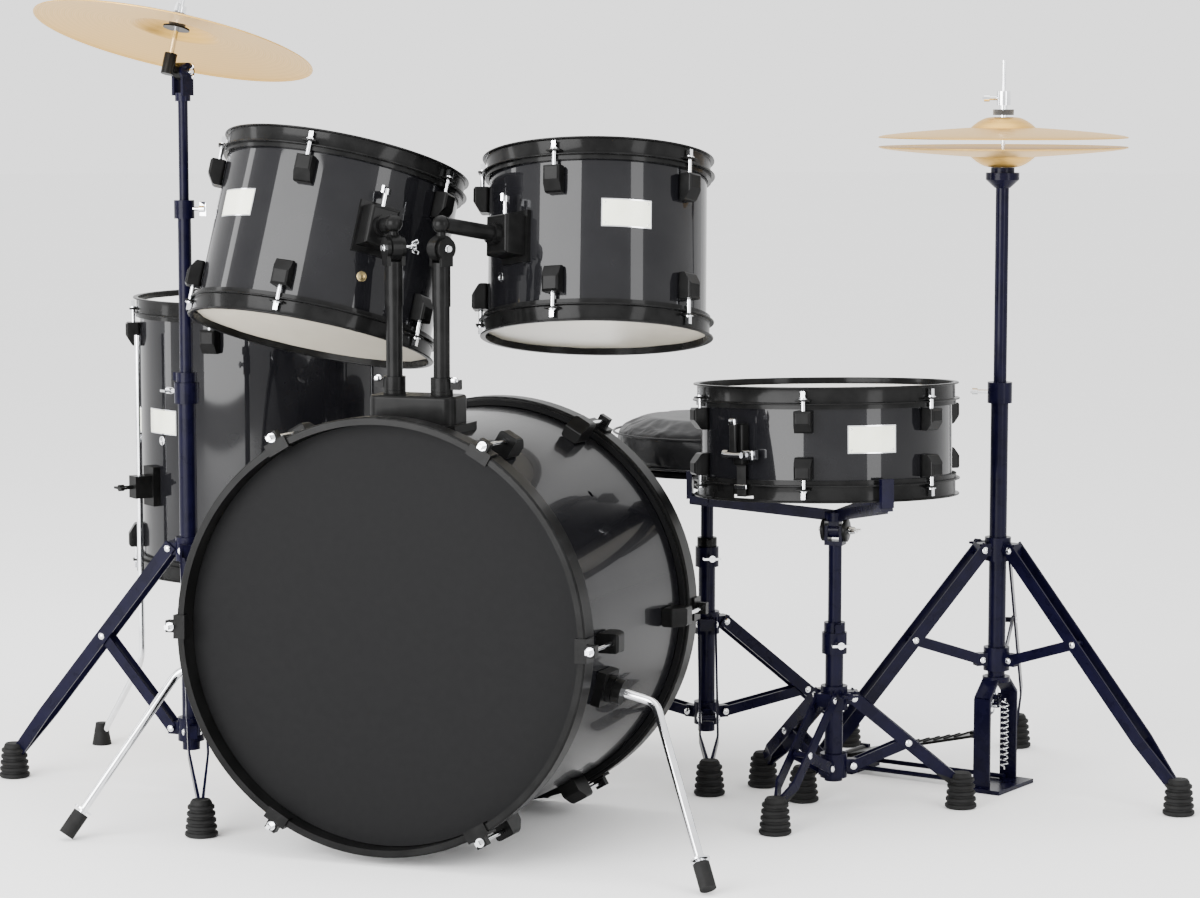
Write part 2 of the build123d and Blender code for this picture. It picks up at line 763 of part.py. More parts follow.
def make_brace(stand):
    """One brace: two flat strips between the fixed collar and the middle of a leg."""
    start, end = brace_line(stand)
    with BuildPart() as brace:
        for side in (-1, 1):
            shift = Vector(0, side * BRACE_SPREAD, 0)
            slab((start + shift), (end + shift), 15, 2.4)
        bar((end + Vector(0, -10, 0)), (end + Vector(0, 10, 0)), 4)
        with Locations(Location(start, (90, 0, 0))):
            Cylinder(RIVET_RADIUS + RUNNING, 60, mode=Mode.SUBTRACT)
    return brace


def make_collar(stand, height, half_width, bolt_angle=None):
    """A collar around the tube with three ears and the pins that the strips turn on."""
    ear = half_width - SIDE_GAP
    with BuildPart() as collar:
        with Locations((0, 0, height)):
            Cylinder(COLLAR_RADIUS, 34)
            for angle in stand["angles"]:
                with Locations(turned(angle)):
                    with Locations((PIVOT_OUT - 6, 0, 0)):
                        Box(26, 2 * ear, 18)
                    with Locations(Location((PIVOT_OUT, 0, 0), (90, 0, 0))):
                        Cylinder(RIVET_RADIUS, 2 * half_width + 9)
            Cylinder(BASE_TUBE + RUNNING, 60, mode=Mode.SUBTRACT)
        if bolt_angle is not None:
            heading = (cos(radians(bolt_angle)), sin(radians(bolt_angle)), 0)
            start = Vector(*heading) * (COLLAR_RADIUS - 2) + Vector(0, 0, height + 6)
            wing_bolt(start, heading)
    return collar


def upper_collar(stand):
    mean = sum(stand["angles"][1:]) / 2
    return make_collar(stand, stand["upper"], STRIP_SPREAD - STRIP / 2, bolt_angle=mean)


def lower_collar(stand):
    return make_collar(stand, stand["lower"], BRACE_SPREAD - 1.2)


def turned(angle):
    """A turn about the stand's own axis."""
    return Location((0, 0, 0), (0, 0, angle))


def make_tube(bottom, top, outer, bore, clamp_angle=None):
    """A stand tube with a clamp at its top and the clamp's wing bolt."""
    with BuildPart() as tube:
        with Locations((0, 0, bottom)):
            Cylinder(outer, top - bottom, align=UPRIGHT)
        if clamp_angle is not None:
            heading = (cos(radians(clamp_angle)), sin(radians(clamp_angle)), 0)
            with Locations((0, 0, top)):
                Cylinder(outer + 5, 30, align=HANGING)
            wing_bolt((heading[0] * (outer + 4), heading[1] * (outer + 4), top - 14), heading)
        with Locations((0, 0, bottom)):
            Cylinder(bore, top - bottom, align=UPRIGHT, mode=Mode.SUBTRACT)
    return tube


def make_base(stand, bottom, top, bore, clamp_angle):
    """A standing base that doesn't fold: tube, two collars, three legs and three braces."""
    pieces = [
        make_tube(bottom, top, BASE_TUBE, bore, clamp_angle).part,
        upper_collar(stand).part,
        lower_collar(stand).part,
    ]
    leg = make_leg(stand).part
    brace = make_brace(stand).part
    with BuildPart(stand_frame(stand)) as base:
        add(pieces)
        for angle in stand["angles"]:
            with Locations(turned(angle)):
                add([leg, brace])
    return base


def lock_ring(height, outer, inner, angle):
    """Add a memory lock around an upper tube, with its key bolt block."""
    with Locations((0, 0, height)):
        Cylinder(outer, 14, align=UPRIGHT)
        with Locations(turned(angle)):
            with Locations((outer + 2, 0, 7)):
                Box(12, 9, 12)


# ---------------------------------------------------------------- snare stand
def make_snare_stand():
    frame = stand_frame(SNARE_STAND)
    base = make_base(SNARE_STAND, 42, 254, UPPER_TUBE + RUNNING, clamp_angle=-60)
    publish(base, "snare_stand_base")

    with BuildPart(frame) as tube:
        bar((0, 0, 120), (0, 0, 378), UPPER_TUBE)
        lock_ring(254.3, 15, UPPER_TUBE, -60)
        with Locations((0, 0, 378)):
            for side in (-1, 1):
                with Locations((side * 10.5, 0, 0)):
                    Box(5, 22, 28, align=UPRIGHT)
            Box(26, 22, 6, align=UPRIGHT)
        with Locations(Location((0, 0, BASKET_HINGE_Z), (0, 90, 0))):
            Cylinder(PIN_RADIUS, 46)
    publish(tube, "snare_stand_tube")


BASKET_ANGLES = (191.0, 311.0, 71.0)
BASKET_HINGE_Z = 399.0


def make_basket():
    """The basket: a hub on the tilter and three arms whose rubber grips hold the drum."""
    hub = stand_frame(SNARE_STAND).offset(BASKET_HINGE_Z)
    drum = drum_frame(SNARE)
    bottom_rim = drum.offset(-SNARE["depth"] / 2 - HOOP_RISE)
    rim = shell_radius(SNARE) + RIM_OVERHANG + 1
    center = hub.from_local_coords((0, 0, 20))
    with BuildPart() as basket:
        with Locations(hub.location):
            with Locations(Location((0, 0, 0), (0, 90, 0))):
                Cylinder(11, 15)
            Box(15, 18, 14, align=UPRIGHT)
            with Locations((0, 0, 13)):
                Cylinder(15, 12, align=UPRIGHT)
            with Locations(Location((0, 0, 0), (0, 90, 0))):
                Cylinder(PIN_RADIUS + RUNNING, 60, mode=Mode.SUBTRACT)
        for angle in BASKET_ANGLES:
            out = Vector(cos(radians(angle)), sin(radians(angle)), 0)
            side = Vector(-out.Y, out.X, 0)
            corner = bottom_rim.from_local_coords(out * (rim + 6) + Vector(0, 0, -7))
            grip = bottom_rim.from_local_coords(out * (rim + 6) + Vector(0, 0, 32))
            slab(center, corner, 16, 3, side=side)
            across = Plane(origin=corner, x_dir=side, z_dir=grip - corner)
            with Locations(across.location):
                Box(18, 8, (grip - corner).length, align=UPRIGHT)
            ledge = Plane(origin=corner, x_dir=side, z_dir=center - corner)
            with Locations(ledge.location):
                Box(18, 10, 26, align=UPRIGHT)
        rim_disc = bottom_rim.offset(-0.4)
        with Locations(rim_disc.location):
            Cylinder(rim + 0.6, 60, align=UPRIGHT, mode=Mode.SUBTRACT)
    return basket


# ---------------------------------------------------------------- hi-hat
PEDAL_HEADING = 166.0
HAT_SEAT_Z = 901.0
HAT_GAP = 14.0
HEEL_OUT = 236.0
HEEL_Z = 24.0
TOE_OUT = 24.0
TOE_Z = 76.0


def cymbal_face(radius, bell, bow):
    """Heights of a cymbal's upper face: edge, bow, bell foot, bell shoulder and hole."""
    return [
        (radius, 0.0),
        (radius * 0.62, bow * 0.66),
        (bell * 1.10, bow),
        (bell * 0.72, bow + BELL_RISE * 0.73),
        (bell * 0.30, bow + BELL_RISE),
        (6.5, bow + BELL_RISE),
    ]


def make_cymbal(frame, radius, bell, bow, thickness=CYMBAL_SHEET, flip=1):
    """A cymbal with its edge plane on a frame, its bell up, or down where flipped."""
    upper = [(x, flip * z) for x, z in cymbal_face(radius, bell, bow)]
    lower = [(x, z - thickness) for x, z in reversed(upper)]
    with BuildPart() as cymbal:
        with BuildSketch(profile_plane(frame)):
            with BuildLine():
                Polyline(*upper, *lower, close=True)
            make_face()
        revolve(axis=axis_of(frame))
    return cymbal


def make_hihat_post():
    """The hi-hat's tube, fixed collar, pedal frame, base plate, heel plate and radius rods."""
    stand = HIHAT_STAND
    bottom = stand["lower"] - 30
    clamp_top = 593
    pieces = [
        make_tube(bottom, clamp_top, BASE_TUBE, UPPER_TUBE + RUNNING, clamp_angle=190).part,
        lower_collar(stand).part,
    ]
    half = 42.0
    with BuildPart() as pedal_frame:
        for side in (-1, 1):
            slab((0, side * half, 4), (0, side * half, 136), 26, 4)
            slab((0, side * half, 136), (0, side * 16, 160), 26, 4)
            bar((HEEL_OUT, side * 30, 10), (0, side * 30, 10), 3.5)
        with Locations((0, 0, 160)):
            Cylinder(20, 8)
            Cylinder(UPPER_TUBE, 20, mode=Mode.SUBTRACT)
        Box(70, 2 * half + 26, 6, align=UPRIGHT)
        with Locations((HEEL_OUT + 14, 0, 0)):
            Box(70, 84, 8, align=UPRIGHT)
        for side in (-1, 1):
            with Locations((HEEL_OUT, side * 35, 8)):
                Box(14, 6, 24, align=UPRIGHT)
        with Locations(Location((HEEL_OUT, 0, HEEL_Z), (90, 0, 0))):
            Cylinder(3, 76)
    with BuildPart(stand_frame(stand)) as post:
        add(pieces)
        with Locations(turned(PEDAL_HEADING)):
            add(pedal_frame.part)
    return post


def make_hihat_tube():
    """The sliding upper tube with the seat cup for the bottom cymbal."""
    with BuildPart(stand_frame(HIHAT_STAND)) as tube:
        bar((0, 0, 400), (0, 0, 876), UPPER_TUBE)
        with Locations((0, 0, 872)):
            Cone(11, 24, 12, align=UPRIGHT)
        with Locations((0, 0, 884)):
            Cylinder(24, 10, align=UPRIGHT)
        with Locations((0, 0, 894)):
            Cylinder(17, HAT_SEAT_Z - 894, align=UPRIGHT)
        Cylinder(5, 2000, mode=Mode.SUBTRACT)
    return tube


def make_hihat_rod():
    """The pull rod from the chain to above the cymbals, and the clutch clamped to it."""
    clutch = 962.0
    with BuildPart(stand_frame(HIHAT_STAND)) as rod:
        bar((0, 0, 128), (0, 0, 1054), 3)
        with Locations((0, 0, 118)):
            Box(12, 16, 20, align=UPRIGHT)
        with Locations((0, 0, clutch)):
            Cylinder(5.6, 48, align=UPRIGHT)
        with Locations((0, 0, clutch + 14)):
            Cylinder(15, 8, align=UPRIGHT)
        with Locations((0, 0, clutch + 28)):
            Cylinder(10, 20, align=UPRIGHT)
        with Locations((0, 0, clutch - 12)):
            Cylinder(9, 12, align=UPRIGHT)
        wing_bolt((-9, 0, clutch + 38), (-1, -0.2, 0), reach=18, span=22)
    return rod


def make_footboard():
    """The hi-hat's footboard with its heel barrel and the strap for the chain."""
    run = Vector(TOE_OUT - HEEL_OUT, 0, TOE_Z - HEEL_Z)
    with BuildPart() as board:
        slab((HEEL_OUT, 0, HEEL_Z), (TOE_OUT, 0, TOE_Z), 4, 58, side=(0, 1, 0))
        with Locations(Location((HEEL_OUT, 0, HEEL_Z), (90, 0, 0))):
            Cylinder(7, 54)
            Cylinder(3 + RUNNING, 80, mode=Mode.SUBTRACT)
        edge = Vector(HEEL_OUT, 0, HEEL_Z) + run * 0.98
        with Locations(edge):
            Box(16, 22, 10)
    with BuildPart(stand_frame(HIHAT_STAND)) as footboard:
        with Locations(turned(PEDAL_HEADING)):
            add(board.part)
    return footboard


def make_hihat():
    publish(make_hihat_post(), "hihat_stand_post")
    publish(make_hihat_tube(), "hihat_upper_tube")
    publish(make_hihat_rod(), "hihat_pull_rod")
    publish(make_footboard(), "hihat_footboard")

    frame = stand_frame(HIHAT_STAND)
    bottom_edge = frame.offset(HAT_SEAT_Z + 30)
    top_edge = bottom_edge.offset(HAT_GAP)
    publish(make_cymbal(bottom_edge, HAT_RADIUS, 42, 13, flip=-1), "hihat_bottom_cymbal")
    publish(make_cymbal(top_edge, HAT_RADIUS, 42, 13), "hihat_top_cymbal")

    collar = upper_collar(HIHAT_STAND).part
    with BuildPart(frame) as sliding_collar:
        add(collar)
    publish(sliding_collar, "hihat_sliding_collar")

    leg = make_leg(HIHAT_STAND).part
    brace = make_brace(HIHAT_STAND).part
    for number, angle in enumerate(HIHAT_STAND["angles"], start=1):
        with BuildPart(frame) as placed_leg:
            with Locations(turned(angle)):
                add(leg)
        publish(placed_leg, f"hihat_leg_{number}")
        with BuildPart(frame) as placed_brace:
            with Locations(turned(angle)):
                add(brace)
        publish(placed_brace, f"hihat_brace_{number}")


# ---------------------------------------------------------------- crash cymbal
CRASH_TILTER_Z = 1038.0
CRASH_SEAT = 74.0  # felt under the cymbal, from the tilter's pivot
CRASH_ROD = 110.0
CRASH_OFFSET = 28.0  # cymbal rod beside the tilter's pivot
CRASH_CLAMP_Z = 596.0


def make_crash():
    stand = CRASH_STAND
    frame = stand_frame(stand)
    base = make_base(stand, stand["lower"] - 30, CRASH_CLAMP_Z, UPPER_TUBE + RUNNING, clamp_angle=160)
    publish(base, "crash_stand_base")

    with BuildPart(frame) as tube:
        bar((0, 0, 430), (0, 0, 848), UPPER_TUBE)
        lock_ring(CRASH_CLAMP_Z + 0.3, 15, UPPER_TUBE, 160)
        with Locations((0, 0, 830)):
            Cylinder(14.5, 26, align=UPRIGHT)
        wing_bolt((14, 0, 844), (1, 0, 0), reach=18, span=20)
        bar((0, 0, 848), (0, 0, 1004), 7)
        with Locations((0, 0, 996)):
            Cylinder(11, 12, align=UPRIGHT)
        lean_heading = degrees(atan2(CRASH_AXIS.Y, CRASH_AXIS.X))
        with Locations(Location((0, 0, CRASH_TILTER_Z), (0, 0, lean_heading))):
            for side in (-1, 1):
                with Locations((0, side * 9.5, 0)):
                    Box(20, 5, 34, align=HANGING)
                with Locations(Location((0, side * 9.5, 0), (90, 0, 0))):
                    Cylinder(12.5, 5)
            with Locations(Location((0, 0, 0), (90, 0, 0))):
                Cylinder(PIN_RADIUS, 34)
    publish(tube, "crash_upper_tube")

    pivot = frame.from_local_coords((0, 0, CRASH_TILTER_Z))
    beside = Vector(CRASH_AXIS.X, CRASH_AXIS.Y, 0).normalized() * -CRASH_OFFSET
    lean = Plane(origin=pivot + beside, z_dir=CRASH_AXIS)
    knuckle = Plane(origin=pivot, z_dir=Vector(0, 0, 1).cross(CRASH_AXIS))
    with BuildPart() as tilter:
        with Locations(knuckle.location):
            Cylinder(12.5, 13)
        bar(pivot, lean.offset(6).origin, 6)
        with Locations(lean.offset(-4).location):
            Cylinder(9, 30, align=UPRIGHT)
        with Locations(lean.offset(20).location):
            Cylinder(4, CRASH_ROD - 20, align=UPRIGHT)
        with Locations(lean.offset(CRASH_SEAT - 12).location):
            Cylinder(19, 2.5, align=UPRIGHT)
        with Locations(lean.offset(CRASH_SEAT - 9.5).location):
            Cylinder(12, 9, align=UPRIGHT)
        with Locations(lean.offset(CRASH_SEAT + 2.2).location):
            Cylinder(12, 8, align=UPRIGHT)
        with Locations(lean.offset(CRASH_SEAT + 12).location):
            Box(28, 4, 12, align=UPRIGHT)
            Cylinder(7, 8, align=UPRIGHT)
        with Locations(knuckle.location):
            Cylinder(PIN_RADIUS + RUNNING, 60, mode=Mode.SUBTRACT)
    publish(tilter, "crash_tilter")

    bow = 16.5
    edge = lean.offset(CRASH_SEAT - bow - BELL_RISE + CYMBAL_SHEET)
    publish(make_cymbal(edge, CRASH_RADIUS, 56, bow), "crash_cymbal")


# ---------------------------------------------------------------- throne
SEAT_RADIUS = 142.0
SEAT_BOTTOM = 443.0
SEAT_TOP = 526.0
THRONE_CLAMP_Z = 327.0


def make_throne():
    frame = stand_frame(THRONE_STAND)
    base = make_base(THRONE_STAND, 46, THRONE_CLAMP_Z, UPPER_TUBE + RUNNING, clamp_angle=-60)
    publish(base, "throne_base")

    with BuildPart(frame) as seat:
        bar((0, 0, 190), (0, 0, SEAT_BOTTOM), UPPER_TUBE)
        lock_ring(THRONE_CLAMP_Z + 0.3, 15, UPPER_TUBE, -60)
        with Locations((0, 0, SEAT_BOTTOM - 28)):
            Cylinder(22, 28, align=UPRIGHT)
        with Locations((0, 0, SEAT_BOTTOM)):
            Cylinder(SEAT_RADIUS - 12, 8, align=UPRIGHT)
        with Locations((0, 0, SEAT_BOTTOM + 8)):
            Cylinder(SEAT_RADIUS, SEAT_TOP - SEAT_BOTTOM - 8, align=UPRIGHT)
        fillet(seat.faces().sort_by(Axis.Z)[-1].edges(), 24)
    publish(seat, "throne_seat")


# ---------------------------------------------------------------- bass drum pedal
AXLE_Y = 58.0
AXLE_Z = 200.0
BEATER_REACH = 160.0
BEATER_LEAN = 38.0
BOARD_HEEL_Y = 318.0


def make_pedal():
    """The kick pedal on the rear hoop: frame with axle, footboard, and beater with its cam."""
    ground = Plane(origin=place(0, 0))
    half = 48.0
    with BuildPart(ground) as frame:
        with Locations((0, 65, 0)):
            Box(2 * half + 30, 120, 6, align=UPRIGHT)
        for side in (-1, 1):
            slab((side * half, AXLE_Y, 6), (side * half, AXLE_Y, AXLE_Z + 12), 26, 8, side=(1, 0, 0))
            with Locations(Location((side * half, AXLE_Y, AXLE_Z), (0, 90, 0))):
                Cylinder(4 + RUNNING, 20, mode=Mode.SUBTRACT)
            bar((side * 30, 120, 10), (side * 30, BOARD_HEEL_Y - 20, 10), 3.5)
        with Locations((0, BOARD_HEEL_Y + 8, 0)):
            Box(88, 60, 8, align=UPRIGHT)
        for side in (-1, 1):
            with Locations((side * 38, BOARD_HEEL_Y, 8)):
                Box(6, 14, 24, align=UPRIGHT)
        with Locations(Location((0, BOARD_HEEL_Y, 24), (0, 90, 0))):
            Cylinder(3, 82)
        with Locations((0, 20, 6)):
            Box(44, 24, 8, align=UPRIGHT)
        with Locations((0, 3, 6)):
            Box(44, 20, 34, align=UPRIGHT)
        hoop = bass_frame()
        with Locations(Plane(origin=hoop.origin - ground.origin, x_dir=hoop.x_dir, z_dir=hoop.z_dir).location):
            Cylinder(BASS_HOOP_RADIUS + 0.4, BASS_HOOP_WIDTH * 2, mode=Mode.SUBTRACT)
    publish(frame, "kick_pedal_frame")

    with BuildPart(ground) as board:
        slab((0, BOARD_HEEL_Y, 24), (0, 112, 92), 4, 62, side=(1, 0, 0))
        with Locations(Location((0, BOARD_HEEL_Y, 24), (0, 90, 0))):
            Cylinder(7, 58)
            Cylinder(3 + RUNNING, 80, mode=Mode.SUBTRACT)
    publish(board, "kick_pedal_board")

    with BuildPart(ground) as beater:
        with Locations(Location((0, AXLE_Y, AXLE_Z), (0, 90, 0))):
            Cylinder(4, 118)
            Cylinder(13, 30)
            with Locations((0, 0, 12)):
                Cylinder(24, 6)
        lean = radians(BEATER_LEAN)
        swing = Vector(0, sin(lean), cos(lean))
        hub = Vector(0, AXLE_Y, AXLE_Z)
        ball = hub + swing * BEATER_REACH
        bar(hub, ball, 3.2)
        face = Plane(origin=ball, x_dir=(1, 0, 0), z_dir=Vector(0, -cos(lean), sin(lean)))
        with Locations(face.location):
            Cylinder(20, 56)
        fillet(beater.edges().filter_by(lambda edge: edge.length > 120).sort_by(Axis.Z)[-2:], 5)
    publish(beater, "kick_pedal_beater")


# ---------------------------------------------------------------- drums
def make_bass_drum():
    frame = bass_frame()
    publish(bass_shell(frame), "bass_drum_shell")
    publish(bass_hoops(frame), "bass_drum_hoops")
    publish(bass_heads(frame), "bass_drum_heads")
    publish(make_bass_lugs(frame), "bass_drum_lugs")
    publish(make_claws(frame), "bass_drum_claws")
    publish(make_fittings(frame), "tom_holder_and_spur_brackets")
    publish(make_spur(frame, -1), "bass_spur_left")
    publish(make_spur(frame, 1), "bass_spur_right")


def make_drum(drum, name, count, start, vent, lug=(LUG_HEIGHT, LUG_SETBACK), gates=()):
    """A drum's shell, heads, hoops, and lugs with rods; start is the first lug's angle."""
    frame = drum_frame(drum)
    radius = shell_radius(drum)
    ends = drum_ends(frame, drum["depth"])
    starts = (start, -start)
    publish(make_shell(frame, radius, drum["depth"], vent), f"{name}_shell")
    publish(make_heads(ends, radius), f"{name}_heads")
    publish(make_hoops(ends, radius, count, starts, gates), f"{name}_hoops")
    publish(make_lugs(ends, radius, count, starts, *lug), f"{name}_lugs")


def make_toms():
    make_drum(TOM_LEFT, "tom_left", count=5, start=-84, vent=(-48, -54))
    make_drum(TOM_RIGHT, "tom_right", count=5, start=-91.5, vent=(-130, -54))
    for name, drum, side in (("left", TOM_LEFT, -1), ("right", TOM_RIGHT, 1)):
        publish(make_tom_post(drum, side), f"tom_{name}_post")
        publish(make_tom_arm(drum, side), f"tom_{name}_arm")
        publish(make_tom_bracket(drum, side), f"tom_{name}_bracket")


def make_floor_tom():
    make_drum(FLOOR_TOM, "floor_tom", count=6, start=-30, vent=(-120, 0))
    publish(make_leg_brackets(), "floor_tom_leg_brackets")
    publish(make_floor_legs(), "floor_tom_legs")


def make_snare():
    gates = (-STRAINER_ANGLE, -STRAINER_ANGLE + 180)
    lug = (SNARE_LUG_HEIGHT, SNARE_LUG_SETBACK)
    make_drum(SNARE, "snare", count=6, start=-23.5, vent=(127, 0), lug=lug, gates=gates)
    publish(make_snare_wires(), "snare_wires")
    publish(make_strainer(), "snare_strainer")
    publish(make_lever(), "snare_strainer_lever")


make_bass_drum()
make_toms()
make_floor_tom()
make_snare()
make_snare_stand()
publish(make_basket(), "snare_stand_basket")
make_hihat()
make_crash()
make_throne()
make_pedal()
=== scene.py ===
import math

import bmesh
import bpy
import numpy as np
from mathutils import Matrix, Vector


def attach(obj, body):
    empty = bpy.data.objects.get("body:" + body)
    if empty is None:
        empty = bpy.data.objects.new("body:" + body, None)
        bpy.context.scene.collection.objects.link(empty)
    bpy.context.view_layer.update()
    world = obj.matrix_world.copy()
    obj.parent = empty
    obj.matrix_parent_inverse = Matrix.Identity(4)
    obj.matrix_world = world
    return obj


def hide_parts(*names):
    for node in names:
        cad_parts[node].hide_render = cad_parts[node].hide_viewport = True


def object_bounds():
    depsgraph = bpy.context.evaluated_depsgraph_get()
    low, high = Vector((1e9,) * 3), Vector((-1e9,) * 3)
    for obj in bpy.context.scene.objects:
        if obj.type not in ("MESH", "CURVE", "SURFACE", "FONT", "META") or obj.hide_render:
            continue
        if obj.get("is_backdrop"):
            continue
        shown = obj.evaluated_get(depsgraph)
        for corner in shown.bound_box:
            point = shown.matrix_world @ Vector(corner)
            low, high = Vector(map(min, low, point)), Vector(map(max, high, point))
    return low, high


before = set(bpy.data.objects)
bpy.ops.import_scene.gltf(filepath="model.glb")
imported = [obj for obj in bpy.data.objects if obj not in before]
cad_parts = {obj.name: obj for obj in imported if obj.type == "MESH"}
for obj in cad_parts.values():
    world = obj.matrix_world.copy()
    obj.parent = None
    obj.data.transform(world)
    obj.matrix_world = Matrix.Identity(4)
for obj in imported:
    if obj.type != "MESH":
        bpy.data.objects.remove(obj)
CAD_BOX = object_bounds()

# Shapes are written in millimetres, from the floor point under the bass drum's rear hoop.
MM = 0.001
KIT_MIDDLE = Vector((101.27, 68.57, 0.0))

TOM_LEFT = dict(inches=13, depth=238.0, middle=(-191.6, -176.2, 793.5), axis=(0.0989, 0.2835, 0.9539))
TOM_RIGHT = dict(inches=12, depth=228.6, middle=(173.2, -90.0, 795.5), axis=(-0.0675, 0.2184, 0.9735))
FLOOR_TOM = dict(inches=16, depth=406.4, middle=(-510.0, 305.0, 479.0), axis=(0.0, 0.0, 1.0))
SNARE = dict(inches=14, depth=136.7, middle=(456.0, 68.0, 528.4), axis=(-0.0257, 0.047, 0.9986))

SNARE_STAND = dict(at=(469, 73), foot=182, upper=161, lower=64, angles=(140, -100, 23), brace=0.52)
HIHAT_STAND = dict(at=(649, 301), foot=303, upper=351, lower=190, angles=(-19, 219, 97), brace=0.40)
CRASH_STAND = dict(at=(-439, -126), foot=294, upper=356, lower=93, angles=(179, -61, 59), brace=0.42)
THRONE_STAND = dict(at=(193, 342), foot=249, upper=212, lower=74, angles=(-71, 47, 166), brace=0.66)
PIVOT_OUT = 27.0
BOOT_HEIGHT = 46.0

CRASH_AXIS = Vector((0.106, 0.260, 0.9598)).normalized()
CRASH_PIVOT_Z = 1038.0
CRASH_SEAT = 74.0
CRASH_OFFSET = 28.0
CRASH_RADIUS = 199.7
TILTER_FACE = 12.2

HAT_RADIUS = 177.5
HAT_BOTTOM_Z = 931.0
HAT_TOP_Z = 945.0
HAT_PEDAL_ANGLE = 166.0

TOM_POSTS_AT = (10.0, -340.0)
TOM_POST_SPREAD = 34.0
TOM_HINGE_Z = 806.0
TOM_ARM_Z = 838.0
TOM_HOLDER_TOP = 612.0
FORK_FACE = 13.2

SNARE_HINGE_Z = 399.0
STRAINER_ANGLE = -113.0
BUTT_ANGLE = 67.0

SPUR_TURN = -13.0
SPUR_HUB_OUT = 297.4
SPUR_HUB_ALONG = 345.0
SPUR_TIP = (460.0, -470.0, 4.0)
CLAMP_REACH = 18.4

BEATER_AXLE = (0.0, 58.0, 200.0)
BEATER_LEAN = 38.0
SEAT_BOTTOM = 451.0
SKY_STRENGTH = 1.9


# ---------------------------------------------------------------- frames
def spot(x, y, z=0.0):
    return Vector((x, y, z)) - KIT_MIDDLE


def axes(origin, z, x=(1, 0, 0)):
    """A frame from an origin, its z direction and roughly its x direction."""
    z = Vector(z).normalized()
    y = z.cross(Vector(x)).normalized()
    x = y.cross(z)
    turn = Matrix((x, y, z)).transposed().to_4x4()
    return Matrix.Translation(Vector(origin)) @ turn


def drum_frame(drum):
    z = Vector(drum["axis"]).normalized()
    x = Vector((0, 1, 0)).cross(z).normalized()
    return axes(spot(*drum["middle"]), z, x)


def shell_radius(drum):
    return drum["inches"] * 12.7 - 2.5


def about(angle):
    return Matrix.Rotation(math.radians(angle), 4, "Z")


def stand_frame(stand):
    return Matrix.Translation(spot(*stand["at"]))


def bass_frame():
    tilt = math.radians(1.5)
    return axes(spot(0, 0, 290), (0, -math.cos(tilt), math.sin(tilt)), (1, 0, 0))


# ---------------------------------------------------------------- materials
def new_material(name, colour, rough, metal=0.0, coat=0.0, coat_rough=0.03, coat_ior=1.5, sheen=0.0,
                 specular=0.5):
    material = bpy.data.materials.new(name)
    material.use_nodes = True
    shader = material.node_tree.nodes["Principled BSDF"]
    shader.inputs["Base Color"].default_value = (*colour, 1)
    shader.inputs["Roughness"].default_value = rough
    shader.inputs["Metallic"].default_value = metal
    shader.inputs["Coat Weight"].default_value = coat
    shader.inputs["Coat Roughness"].default_value = coat_rough
    shader.inputs["Coat IOR"].default_value = coat_ior
    shader.inputs["Sheen Weight"].default_value = sheen
    shader.inputs["Specular IOR Level"].default_value = specular
    return material, material.node_tree, shader


def node(tree, kind, **values):
    made = tree.nodes.new(kind)
    for key, value in values.items():
        made.inputs[key.replace("_", " ")].default_value = value
    return made


def noise(tree, scale, detail=4.0, rough=0.5):
    place = tree.nodes.new("ShaderNodeTexCoord")
    texture = node(tree, "ShaderNodeTexNoise", Scale=scale, Detail=detail, Roughness=rough)
    tree.links.new(place.outputs["Object"], texture.inputs["Vector"])
    return texture.outputs["Fac"]


def between(tree, value, low, high):
    """A value from 0 to 1 turned into one from low to high."""
    spread = tree.nodes.new("ShaderNodeMapRange")
    spread.inputs["To Min"].default_value = low
    spread.inputs["To Max"].default_value = high
    tree.links.new(value, spread.inputs["Value"])
    return spread.outputs["Result"]


def mixed(tree, value, dark, light, low=0.35, high=0.65):
    ramp = tree.nodes.new("ShaderNodeValToRGB")
    ramp.color_ramp.elements[0].position = low
    ramp.color_ramp.elements[1].position = high
    ramp.color_ramp.elements[0].color = (*dark, 1)
    ramp.color_ramp.elements[1].color = (*light, 1)
    tree.links.new(value, ramp.inputs["Fac"])
    return ramp.outputs["Color"]


def bump(tree, shader, height, strength, distance):
    relief = tree.nodes.new("ShaderNodeBump")
    relief.inputs["Strength"].default_value = strength
    relief.inputs["Distance"].default_value = distance
    tree.links.new(height, relief.inputs["Height"])
    tree.links.new(relief.outputs["Normal"], shader.inputs["Normal"])


def surface(name, dark, light, rough, grain, relief, depth=0.0002, **more):
    """A finish whose colour, roughness and relief vary with noise."""
    material, tree, shader = new_material(name, light, sum(rough) / 2, **more)
    broad = noise(tree, grain * 0.12)
    fine = noise(tree, grain)
    tree.links.new(mixed(tree, broad, dark, light), shader.inputs["Base Color"])
    tree.links.new(between(tree, broad, *rough), shader.inputs["Roughness"])
    bump(tree, shader, fine, relief, depth)
    return material


